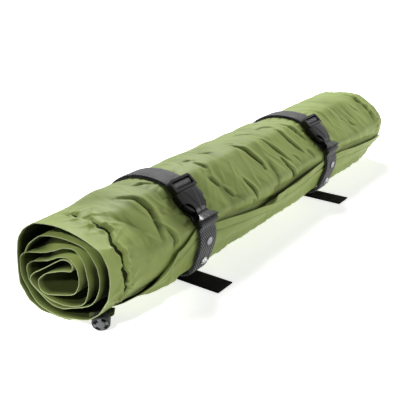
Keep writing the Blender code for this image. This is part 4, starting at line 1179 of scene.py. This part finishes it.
@dataclass(frozen=True)
class Webbing:
    """One stretch of strap webbing, swept along the middle line of its CAD node."""

    node: str
    finish: Finish
    thickness: float = 1.6 * MM
    step: float = 1.4 * MM
    ribs: int = 14
    selvedge: float = 0.55
    merged: float = 2e-6
    flat: float = 2e-5

    def side_loop(self) -> tuple[Array, float, float]:
        """Walk round one side wall of the CAD node.

        Returns:
            The wall's (y, z) points in order, and the webbing's two edges along the roll.
        """
        bm = bmesh.new()
        bm.from_mesh(frame["nodes"][self.node].data)
        bmesh.ops.remove_doubles(bm, verts=bm.verts, dist=self.merged)
        low = min(v.co.x for v in bm.verts)
        high = max(v.co.x for v in bm.verts)
        # A list keeps the mesh's own order, so that the walk starts at the same place in every run.
        wall = [f for f in bm.faces if all(abs(v.co.x - low) < self.flat for v in f.verts)]
        rim = [e for f in wall for e in f.edges if sum(g in wall for g in e.link_faces) == 1]
        after = {}
        for edge in rim:
            a, b = edge.verts
            after.setdefault(a, []).append(b)
            after.setdefault(b, []).append(a)
        start = rim[0].verts[0]
        loop, last = [start], None
        while True:
            here = loop[-1]
            step = [v for v in after[here] if v is not last]
            last = here
            if step[0] is start or (len(loop) > 2 and start in after[here]):
                break
            loop.append(step[0])
        points = np.array([(v.co.y, v.co.z) for v in loop])
        bm.free()
        return points, low, high

    def middle_line(self) -> tuple[Array, float, float]:
        """Find the line between the two long edges of the side wall, as far apart as the webbing is thick.

        Returns:
            The (y, z) points along the webbing's middle, and its two edges along the roll.
        """
        points, low, high = self.side_loop()
        half = len(points) // 2
        best = None
        for turn in range(2 * half):
            rolled = np.roll(points, turn, axis=0)
            one, two = rolled[:half], rolled[half:2 * half][::-1]
            error = np.abs(np.linalg.norm(one - two, axis=1) - self.thickness).max()
            if best is None or error < best[0]:
                best = (error, (one + two) / 2)
        LOG.info("%s: middle line of %d points, %.1f mm long, error %.5f", self.node, half,
                 run_lengths(best[1])[-1] / MM, best[0])
        return best[1], low, high

    def build(self, name: str, stretch: float = 0.0) -> Piece:
        """Sweep the webbing's rounded section along its line.

        Args:
            name: the piece's name.
            stretch: how far each end runs on past the node's, in metres.

        Returns:
            The webbing.
        """
        line, low, high = self.middle_line()
        length = np.linalg.norm(np.diff(line, axis=0), axis=1).sum()
        line = smooth_curve(line, max(8, round(length / self.step)))
        for end, inner in ((0, 1), (-1, -2)):
            line[end] += (line[end] - line[inner]) / np.linalg.norm(line[end] - line[inner]) * stretch
        tangent = np.gradient(line, axis=0)
        tangent /= np.linalg.norm(tangent, axis=1)[:, None]
        normal = np.stack([tangent[:, 1], -tangent[:, 0]], 1)
        across = np.linspace(-1, 1, self.ribs)
        half = self.thickness / 2 * (1 - (1 - self.selvedge) * np.abs(across) ** 10)
        middle, width = (low + high) / 2, (high - low) / 2
        section = [*zip(across, half), *zip(across[::-1], -half[::-1])]
        verts, uvs = [], []
        for point, out, place in zip(line, normal, run_lengths(line)):
            for u, h in section:
                verts.append((middle + u * width, point[0] + out[0] * h, point[1] + out[1] * h))
                uvs.append((u * width, place))
        count = len(section)
        faces = []
        for row in range(len(line) - 1):
            for k in range(count):
                a, b = row * count + k, row * count + (k + 1) % count
                faces.append([a, b, b + count, a + count])
        faces.append(list(range(count))[::-1])
        faces.append([(len(line) - 1) * count + k for k in range(count)])
        made = new_piece(name, verts, faces, self.finish, np.array(uvs), 60.0)
        face_outwards(made)
        return made


def coat(finish: Finish, *nodes: str) -> None:
    """Give CAD nodes that keep their own shape a finish.

    Args:
        finish: the material.
        nodes: the nodes' names.
    """
    for node in nodes:
        data = frame["nodes"][node].data
        data.materials.clear()
        data.materials.append(finish)


@dataclass(frozen=True)
class Strap:
    """One strap: its webbing, its free tail, the webbing in the ladder lock, and the metal on it."""

    side: str
    tail_on_floor: float = 4 * MM
    threaded_overlap: float = 0.3 * MM

    def build(self, twill: Finish, back: Finish) -> None:
        """Sweep the strap's three stretches of webbing.

        Args:
            twill: the webbing's face.
            back: a darker copy of the webbing, painted shade on the tail where it lies on the floor.
        """
        side = self.side
        strap = Webbing(f"{side}_strap", twill).build(f"{side}_strap_webbing")
        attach(strap, "root")
        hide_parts(f"{side}_strap")
        tail = Webbing(f"{side}_strap_tail", twill).build(f"{side}_tail_webbing")
        tail.data.materials.append(back)
        # Painted shade: the tail's faces that lie on the floor take the darker copy.
        for polygon in tail.data.polygons:
            polygon.material_index = int(polygon.center.z < self.tail_on_floor)
        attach(tail, "root")
        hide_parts(f"{side}_strap_tail")
        lock = Webbing(f"{side}_strap_adjuster", twill)
        threaded = lock.build(f"{side}_threaded_webbing", self.threaded_overlap)
        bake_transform(threaded)
        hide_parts(f"{side}_strap_adjuster")
        for piece in (strap, tail, threaded):
            report(piece)

    def dress(self, plastic: Finish, rivet: Finish, bright: Finish) -> None:
        """Finish the prongs, the rivet and the stud, which keep their CAD shapes.

        Args:
            plastic: the prongs' finish.
            rivet: the rivet's and the eyelet's.
            bright: the stud's.
        """
        side = self.side
        coat(plastic, f"{side}_prong_left", f"{side}_prong_right")
        coat(rivet, f"{side}_rivet_cap", f"{side}_rivet_shank", f"{side}_stud_eyelet")
        coat(bright, f"{side}_snap_stud")


class Pick(Enum):
    """What an edit selects."""

    POINTS = "VERT"
    EDGES = "EDGE"
    FACES = "FACE"


def fresh(name: str, primitive: str, **settings: object) -> Piece:
    """Add a primitive that is the only thing selected, with its size and place in its mesh.

    Args:
        name: the piece's name.
        primitive: the kind, such as "cube".
        settings: the primitive's own settings.

    Returns:
        The new object.
    """
    bpy.ops.object.select_all(action="DESELECT")
    getattr(bpy.ops.mesh, f"primitive_{primitive}_add")(**settings)
    made = bpy.context.active_object
    made.name = made.data.name = name
    bpy.ops.object.transform_apply(location=True, rotation=True, scale=True)
    return made


def block(name: str, low: Triple, high: Triple) -> Piece:
    """Add a box between two corners in mm, and return it."""
    middle = [(a + b) / 2 * MM for a, b in zip(low, high)]
    return fresh(name, "cube", size=1.0, location=middle, scale=[(b - a) * MM for a, b in zip(low, high)])


def rod(name: str, sides: int, radius: float, depth: float, at: Triple, **settings: object) -> Piece:
    """Add a cylinder with its sizes and its middle in mm.

    Args:
        name: the piece's name.
        sides: how many sides it has.
        radius: its radius.
        depth: its length, along Z unless it is turned.
        at: its middle.
        settings: the primitive's other settings.

    Returns:
        The new object.
    """
    return fresh(name, "cylinder", vertices=sides, radius=radius * MM, depth=depth * MM,
                 location=[v * MM for v in at], **settings)


@contextmanager
def edit(piece: Piece, kind: Pick = Pick.POINTS, test: Test = lambda at, way: True) -> Iterator[None]:
    """Open a piece in edit mode with what passes a test selected, and close it after the edit.

    Args:
        piece: the active object.
        kind: what to select.
        test: takes a place in mm, and the normal or, for an edge, its direction.

    Yields:
        Nothing; the edit's operators run meanwhile.
    """
    bpy.ops.object.mode_set(mode="EDIT")
    bpy.ops.mesh.select_mode(type=kind.value)
    bpy.ops.mesh.select_all(action="DESELECT")
    bm = bmesh.from_edit_mesh(piece.data)
    for item in {Pick.POINTS: bm.verts, Pick.EDGES: bm.edges, Pick.FACES: bm.faces}[kind]:
        if kind is Pick.EDGES:
            start, end = (v.co for v in item.verts)
            place, way = (start + end) / 2, (end - start).normalized()
        else:
            place = item.co if kind is Pick.POINTS else item.calc_center_median()
            way = item.normal
        if test(place / MM, way):
            item.select_set(True)
    bm.select_flush_mode()
    bmesh.update_edit_mesh(piece.data)
    yield
    bpy.ops.object.mode_set(mode="OBJECT")


def close_shell() -> None:
    """Merge the doubled points of the mesh in edit mode, then turn its faces outwards."""
    bpy.ops.mesh.remove_doubles(threshold=0.00001)
    bpy.ops.mesh.normals_make_consistent(inside=False)


def make_active(piece: Piece) -> None:
    """Select a piece alone and make it the active one.

    Args:
        piece: the piece.
    """
    bpy.ops.object.select_all(action="DESELECT")
    piece.select_set(True)
    bpy.context.view_layer.objects.active = piece


def apply(piece: Piece, kind: str, **settings: object) -> None:
    """Add a modifier to a piece and apply it.

    Args:
        piece: the piece.
        kind: the modifier's type.
        settings: the modifier's settings.
    """
    make_active(piece)
    modifier = piece.modifiers.new(kind.lower(), kind)
    for key, value in settings.items():
        setattr(modifier, key, value)
    bpy.ops.object.modifier_apply(modifier=modifier.name)


def combine(piece: Piece, other: Piece, operation: str = "DIFFERENCE") -> None:
    """Cut another shape out of a piece, or join it on, and remove that shape.

    Args:
        piece: the piece.
        other: the other shape.
        operation: the Boolean's operation.
    """
    apply(piece, "BOOLEAN", operation=operation, object=other, solver="EXACT")
    bpy.data.objects.remove(other)


def round_edges(piece: Piece, width: float, segments: int, angle: float = 40.0) -> None:
    """Round a piece's edges as a mould does.

    Args:
        piece: the piece.
        width: the round's size in mm.
        segments: how many steps it has.
        angle: the angle in degrees above which an edge is rounded.
    """
    apply(piece, "BEVEL", width=width * MM, segments=segments, limit_method="ANGLE",
          angle_limit=math.radians(angle), use_clamp_overlap=True)


def settle(piece: Piece, place: Matrix, finish: Finish) -> None:
    """Put a finished piece's place into its mesh, and give it its finish and smooth shading.

    Args:
        piece: the piece, changed in place.
        place: the matrix from its own frame.
        finish: the material.
    """
    make_active(piece)
    with edit(piece):
        close_shell()
    piece.data.transform(place)
    piece.data.materials.clear()
    piece.data.materials.append(finish)
    bpy.ops.object.shade_smooth_by_angle(angle=math.radians(35))


def body_of(node: str) -> str:
    """Return the body that carries a CAD node."""
    return next(body for body, nodes in frame["record"]["behaviour"]["bodies"].items() if node in nodes)


@dataclass(frozen=True)
class Buckle:
    """A side release buckle in its own frame, in mm: X across the webbing, Y along it, Z off the roll.

    The male half is a ladder lock with a guide blade. The female half is a waisted shell with a raised
    wedge on its face, a mouth for the prongs, a window in each side and a bar for the folded webbing.
    outline holds (along, half the width) and profile (along, how far the face dips).
    """

    places: tuple[tuple[str, float], ...] = (("front", -158.872), ("rear", 106.828))
    origin: Pair = (-9.901, 92.98)
    tilt: float = math.radians(40)
    half: float = 15.8
    lock_length: float = 13.5
    lock_low: float = 3.7
    lock_high: float = 10.0
    lock_corner: float = 3.6
    lock_round: float = 1.15
    window_half: float = 13.2
    window: Pair = (2.5, 10.7)
    bar: Quad = (5.2, 7.8, 3.8, 7.2)
    bar_half: float = 14
    blade: Quad = (1.5, 29.8, 3.0, 6.0)
    blade_start: float = 12.5
    mouth: float = 13.9
    base: float = 0.2
    crown: float = 9.3
    crown_fall: float = 2.0
    outline: Table = (
        (13.9, 15.5), (18, 16.1), (24.8, 16.3), (29, 15.9), (32.5, 14.9), (35.5, 13.6), (38.5, 13.2),
        (41.5, 13.6), (44, 14.3), (45.7, 14.7), (47.2, 14.7), (48.4, 14.3), (51.4, 14.3))
    profile: Table = (
        (13.9, 0.0), (20, 0.1), (30, -0.5), (35, -1.6), (38, -2.9), (40, -3.2), (47.4, 1.0),
        (48.4, 1.0), (51.4, 1.0))
    side_window: Triple = (17.6, 35.6, 10.6)
    cavity: Triple = (13.4, 1.9, 7.3)
    cavity_end: float = 33.5
    tips: Triple = (11.9, 30, 35)
    wedge: Triple = (7.2, 39.0, 0.55)
    slot_start: float = 44.0
    past_end: float = 55.0
    tongue: Pair = (48.4, 6.0)
    fold_bar: Triple = (49.6, 2.6, 1.4)
    grid: tuple[int, int] = (56, 76)

    def place(self, x: float) -> Matrix:
        """Find the buckle's place on its strap.

        Args:
            x: the strap's place along the roll in mm.

        Returns:
            The matrix that puts the buckle's frame there.
        """
        c, s = math.cos(self.tilt), math.sin(self.tilt)
        turned = Matrix(((-1, 0, 0), (0, -c, -s), (0, -s, c)))
        return Matrix.Translation((x * MM, self.origin[0] * MM, self.origin[1] * MM)) @ turned.to_4x4()

    def male(self) -> Piece:
        """Model the ladder lock: a rounded frame, the bar that the webbing passes over, and the blade.

        Returns:
            The male half.
        """
        made = block("buckle_male_shell", (-self.half, 0, self.lock_low),
                     (self.half, self.lock_length, self.lock_high))
        with edit(made, Pick.EDGES, lambda at, way: abs(way.z) > 0.9 and at.y < 1):
            bpy.ops.mesh.bevel(offset=self.lock_corner * MM, segments=6)
        near, far = self.window
        combine(made, block("cutter", (-self.window_half, near, 0), (self.window_half, far, 12)))
        round_edges(made, self.lock_round, 4)
        near, far, low, high = self.bar
        combine(made, block("bar", (-self.bar_half, near, low), (self.bar_half, far, high)), "UNION")
        half, end, low, high = self.blade
        combine(made, block("blade", (-half, self.blade_start, low), (half, end, high)), "UNION")
        round_edges(made, 0.25, 1, 60)
        return made

    def female(self) -> Piece:
        """Model the waisted shell: swept outline, crowned face with its wedge, mouth, windows and bar.

        Returns:
            The female half.
        """
        made = fresh("buckle_female_shell", "grid", x_subdivisions=self.grid[0],
                     y_subdivisions=self.grid[1], size=2.0)
        start, end = self.outline[0][0], self.outline[-1][0]
        for vertex in made.data.vertices:
            along = start + (vertex.co.y + 1) / 2 * (end - start)
            half = from_table(self.outline, along)
            vertex.co = (vertex.co.x * half * MM, along * MM, self.base * MM)
        with edit(made, Pick.FACES):
            rise = (0, 0, (self.crown - self.base) * MM)
            bpy.ops.mesh.extrude_region_move(TRANSFORM_OT_translate={"value": rise})
        wide, point, rise = self.wedge
        for vertex in made.data.vertices:
            if vertex.co.z < 5 * MM:
                continue
            u, v = vertex.co.x / MM, vertex.co.y / MM
            side = abs(u) / from_table(self.outline, v)
            panel = wide * max(0.0, (point - v) / (point - start))
            lift = 1 - float(ease(abs(u), panel - 0.5, panel + 0.5))
            lift = rise * lift * float(ease(v, start, start + 2))
            dip = from_table(self.profile, v)
            vertex.co.z = (self.crown + dip - self.crown_fall * side ** 5 + lift) * MM
        half, low, high = self.cavity
        combine(made, block("mouth", (-half, self.mouth - 3, low), (half, self.cavity_end, high)))
        half, near, far = self.tips
        combine(made, block("tips", (-half, near, low), (half, far, high - 1)))
        out, level, radius = self.side_window
        for side in (-1, 1):
            combine(made, rod("window", 48, radius, 14, (side * out, level, low + 7)))
        end, roof = self.tongue
        half, past = self.window_half, self.past_end
        combine(made, block("fold_slot", (-half, self.slot_start, -3), (half, past, roof)))
        combine(made, block("tongue_end", (-20, end, roof - 1), (20, past, 14)))
        round_edges(made, 0.55, 3, 50)
        at, height, radius = self.fold_bar
        bar = rod("bar", 20, radius, 2 * (half + 0.5), (0, at, height), rotation=(0, math.pi / 2, 0))
        combine(made, bar, "UNION")
        return made

    def build(self, finish: Finish) -> None:
        """Model each half once, and put a copy of it on each strap.

        Args:
            finish: the buckles' material.
        """
        for half, shell, body in (("male", self.male(), "{}_latch"), ("female", self.female(), "root")):
            for side, x in self.places:
                copy = new_object(f"{side}_buckle_{half}_shell", shell.data.copy())
                settle(copy, self.place(x), finish)
                self.dress(copy, body.format(side), f"{side}_buckle_{half}")
            bpy.data.objects.remove(shell)

    @staticmethod
    def dress(shell: Piece, body: str, node: str) -> None:
        """Say what a half rides on and what it stands for.

        Args:
            shell: the half.
            body: the body that carries it.
            node: the CAD node that it replaces.
        """
        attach(shell, body)
        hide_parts(node)
        report(shell)


@dataclass(frozen=True)
class ValveKnob:
    """The turning cap of the valve, in the valve's frame, in mm: Z points out of the mat's corner.

    pocket holds the finger slots' inner and outer radius, depth and span in degrees, and sleeve its half
    width, half height, lower and upper end.
    """

    origin: Triple = (-0.282137, -0.026628, 0.008064)
    axis_x: Triple = (-0.57551, 0.79233, -0.20249)
    axis_y: Triple = (0.28807, -0.03533, -0.95696)
    axis_z: Triple = (-0.76538, -0.60907, -0.20791)
    radius: float = 8.0
    length: float = 7.8
    rounding: float = 1.7
    bore: float = 5.0
    wall: float = 1.6
    pocket: Quad = (3.7, 6.7, 1.7, 50.0)
    sleeve: Quad = (11.6, 4.0, -17.5, -10.2)
    sleeve_painted_shade: float = 0.85
    sleeve_fill: float = 0.9

    def place(self) -> Matrix:
        """Return the matrix that puts the valve's frame at the mat's corner."""
        turned = Matrix((self.axis_x, self.axis_y, self.axis_z)).transposed()
        return Matrix.Translation(self.origin) @ turned.to_4x4()

    def finger_slot(self) -> Piece:
        """Model what cuts one finger slot: an upright plane spun about the knob's axis.

        Returns:
            The closed cutter.
        """
        near, far, deep, span = self.pocket
        slot = fresh("slot", "plane", size=1.0)
        with edit(slot):
            bpy.ops.transform.resize(value=((far - near) * MM, 3 * MM, 1), center_override=(0, 0, 0))
        slot.rotation_euler = (math.pi / 2, 0, 0)
        slot.location = ((near + far) / 2 * MM, 0, (1.5 - deep) * MM)
        bpy.ops.object.transform_apply(location=True, rotation=True, scale=True)
        with edit(slot):
            bpy.ops.mesh.spin(steps=8, angle=math.radians(span), center=(0, 0, 0), axis=(0, 0, 1))
            bpy.ops.mesh.select_all(action="SELECT")
            close_shell()
        return slot

    def build(self, rim: Finish, disc: Finish) -> Piece:
        """Model the knob: a cup with a rounded rim, four deep finger slots and a raised disc between them.

        Args:
            rim: the cup's finish.
            disc: the raised disc's.

        Returns:
            The knob.
        """
        near = self.pocket[0]
        made = rod("valve_knob_cap", 64, self.radius, self.length, (0, 0, -self.length / 2))
        with edit(made, Pick.FACES, lambda at, way: way.z > 0.9):
            bpy.ops.mesh.bevel(offset=self.rounding * MM, segments=5)
        combine(made, rod("bore", 48, self.bore, 20, (0, 0, -10 - self.wall)))
        for quarter in range(4):
            slot = self.finger_slot()
            middle = sum((v.co for v in slot.data.vertices), Vector())
            turn = math.radians(45 + 90 * quarter) - math.atan2(middle.y, middle.x)
            slot.data.transform(Matrix.Rotation(turn, 4, "Z"))
            combine(made, slot)
        combine(made, rod("disc", 48, near - 0.3, 1.6, (0, 0, 0)), "UNION")
        round_edges(made, 0.2, 2, 45)
        settle(made, Matrix.Identity(4), rim)
        made.data.materials.append(disc)
        for polygon in made.data.polygons:
            at = polygon.center / MM
            polygon.material_index = int(math.hypot(at.x, at.y) < near and at.z > -0.6)
        made.data.transform(self.place())
        return made

    def cover(self, cloth: Finish) -> Piece:
        """Model the sleeve of fabric that is welded round the valve's foot.

        Args:
            cloth: the mat's fabric.

        Returns:
            The sleeve.
        """
        half, high, low, top = self.sleeve
        made = fresh("valve_corner_sleeve", "cylinder", vertices=40, radius=1.0, depth=(top - low) * MM,
                     location=(0, 0, (top + low) / 2 * MM))
        with edit(made):
            bpy.ops.transform.resize(value=(half * MM, high * MM, 1), center_override=(0, 0, 0))
        with edit(made, Pick.FACES, lambda at, way: way.z < -0.9):
            bpy.ops.transform.resize(value=(1.0, 0.5, 1), center_override=(0, 0, low * MM))
        with edit(made, Pick.FACES, lambda at, way: way.z > 0.9):
            bpy.ops.transform.resize(value=(0.96, 1.0, 1), center_override=(0, 0, top * MM))
        round_edges(made, 0.7, 3, 50)
        settle(made, self.place(), cloth)
        # Painted shade over the whole sleeve, so that it reads as the dark inside of the mat's corner.
        write_painted_shade(made.data, np.full(len(made.data.vertices), self.sleeve_painted_shade))
        return made

    def dress(self, knob: Piece, sleeve: Piece, dull: Finish) -> None:
        """Say what the knob and the sleeve ride on, and finish the valve's inner pieces.

        Args:
            knob: the knob.
            sleeve: the sleeve.
            dull: the finish of the nodes that keep their CAD shapes.
        """
        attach(knob, body_of("valve_knob"))
        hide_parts("valve_knob")
        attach(sleeve, "root")
        coat(dull, "valve_body", "valve_plunger", "valve_seal")
        for piece in (knob, sleeve):
            report(piece)


def aim(at: Triple, target: Triple) -> Euler:
    """Return the turn that points a lamp or the camera from a place at another."""
    return (Vector(target) - Vector(at)).to_track_quat("-Z", "Y").to_euler()


@dataclass(frozen=True)
class Softbox:
    """A square soft lamp that points at a place; its beam's spread is in degrees."""

    name: str
    at: Triple
    target: Triple
    size: float
    power: float
    spread: float = 180.0

    def build(self) -> None:
        """Add the lamp."""
        light = bpy.data.lights.new(self.name, "AREA")
        light.size = self.size
        light.energy = self.power
        light.spread = math.radians(self.spread)
        made = bpy.data.objects.new(self.name, light)
        made.location = self.at
        made.rotation_euler = aim(self.at, self.target)
        bpy.context.scene.collection.objects.link(made)


@dataclass(frozen=True)
class Studio:
    """A plain white floor, soft lamps and the camera at the photograph's angle."""

    camera_at: Triple = (-0.632772, -0.376581, 0.3194)
    look_at: Triple = (-0.018672, 0.058319, 0.0132)
    lens: float = 61.3
    sensor: float = 36.0
    floor_size: float = 12.0
    world_light: float = 0.05
    floor_glow: float = 0.36
    white_from: Quad = (0.35, 0.90, 0.72, 1.0)
    lamps: tuple[Softbox, ...] = (
        Softbox("top_softbox", (0.62, 0.62, 1.15), (0.0, 0.0, 0.0), 0.4, 19.5),
        Softbox("front_softbox", (0.75, -1.10, 0.16), (0.0, 0.0, 0.03), 0.8, 7.1),
        Softbox("end_softbox", (-1.06, -0.14, 0.84), (-0.35, 0.0, 0.05), 0.12, 0.08, 9.0),
    )

    def build(self) -> None:
        """Make the camera, the lamps, the world and the floor."""
        scene = bpy.context.scene
        scene.view_settings.view_transform = "Standard"
        camera = bpy.data.objects.new("camera", bpy.data.cameras.new("camera"))
        camera.data.lens = self.lens
        camera.data.sensor_width = self.sensor
        camera.location = self.camera_at
        camera.rotation_euler = aim(self.camera_at, self.look_at)
        scene.collection.objects.link(camera)
        scene.camera = camera
        for lamp in self.lamps:
            lamp.build()
        self.world(scene)
        self.floor()

    def world(self, scene: bpy.types.Scene) -> None:
        """Light the scene evenly, and show white behind the object.

        Args:
            scene: the scene.
        """
        world = bpy.data.worlds.new("studio")
        world.use_nodes = True
        scene.world = world
        tree = world.node_tree
        back = tree.nodes["Background"]
        back.inputs["Color"].default_value = linear("#ffffff")
        path = add_node(tree, "LightPath")
        seen = add_node(tree, "Math", {0: path.outputs["Is Camera Ray"], 1: path.outputs["Is Glossy Ray"]},
                        operation="MAXIMUM")
        clear = add_node(tree, "Math", {0: seen.outputs[0], 1: path.outputs["Is Transmission Ray"]},
                         operation="MAXIMUM")
        level = add_node(tree, "MapRange", {"Value": clear.outputs[0], "To Min": self.world_light,
                                            "To Max": 1.0})
        tree.links.new(level.outputs["Result"], back.inputs["Strength"])

    def floor(self) -> None:
        """Lay the white floor, which glows a little so that it reads white and keeps the shadow.

        The glow is painted light: the floor is no lamp, yet it also lights the roll from below.
        """
        half = self.floor_size / 2
        corners = [(-half, -half, 0), (half, -half, 0), (half, half, 0), (-half, half, 0)]
        made, tree, shader = new_material("studio_floor_white")
        shader.inputs["Base Color"].default_value = linear("#f2f2f2")
        shader.inputs["Roughness"].default_value = 0.9
        shader.inputs["Specular IOR Level"].default_value = 0.0
        glow = add_node(tree, "Emission", {"Color": linear("#ffffff")})
        path = add_node(tree, "LightPath")
        seen = add_node(tree, "Math", {0: path.outputs["Is Camera Ray"], 1: path.outputs["Is Glossy Ray"]},
                        operation="MAXIMUM")
        body = add_node(tree, "TexCoord").outputs["Object"]
        away = add_node(tree, "VectorMath", {0: body}, operation="LENGTH")
        # Near the roll the floor is a little grey, so that its shadow shows, and it is white further off.
        near, far, grey, full = self.white_from
        white = add_node(tree, "MapRange", {"Value": away.outputs["Value"], "From Min": near, "From Max": far,
                                            "To Min": grey, "To Max": full})
        level = add_node(tree, "MapRange", {"Value": seen.outputs[0], "To Min": self.floor_glow,
                                            "To Max": white.outputs["Result"]})
        tree.links.new(level.outputs["Result"], glow.inputs["Strength"])
        both = add_node(tree, "AddShader", {0: shader.outputs[0], 1: glow.outputs[0]})
        tree.links.new(both.outputs[0], tree.nodes["Material Output"].inputs["Surface"])
        new_piece("studio_floor", corners, [[0, 1, 2, 3]], made)


def main() -> None:
    """Build every sub-assembly in order."""
    logging.basicConfig(level=logging.INFO, format="%(name)s: %(message)s")
    Studio().build()

    mat = Mat()
    roll = mat.build()
    mat.dress(roll)

    twill = TwillWebbing().make()
    # A darker copy of the webbing with no lustre: painted shade for the tail where it lies on the floor.
    back = TwillWebbing("webbing_painted_shade", "#080809", "#040404", shine=0.05).make()
    plastic = Moulded().make()
    # Plated steel mirrors the lamps: softly on the tumbled rivet, and brightly on the polished stud.
    rivet = Moulded("steel_grey_plated", "#8e8f92", "#a2a3a6", (0.28, 0.40), 0.8 * MM, 0.01 * MM, 0.85).make()
    bright = Moulded("steel_bright_plated", "#c9cacc", "#d8d9db", (0.12, 0.22), 0.8 * MM, 0.01 * MM,
                     1.0).make()
    # Moulded nylon has a matt grey skin, and moulded polyurethane a dull black one.
    face = Moulded("nylon_grey_moulded", "#5f6062", "#6c6d6f", (0.38, 0.52), 1.0 * MM, 0.05 * MM).make()
    dull = Moulded("polyurethane_black_moulded", "#222223", "#2c2c2e", (0.40, 0.55)).make()
    for side in ("front", "rear"):
        strap = Strap(side)
        strap.build(twill, back)
        strap.dress(plastic, rivet, bright)
    Buckle().build(plastic)
    valve = ValveKnob()
    knob = valve.build(dull, face)
    valve.dress(knob, valve.cover(roll.data.materials[0]), dull)


if __name__ == "__main__":
    main()
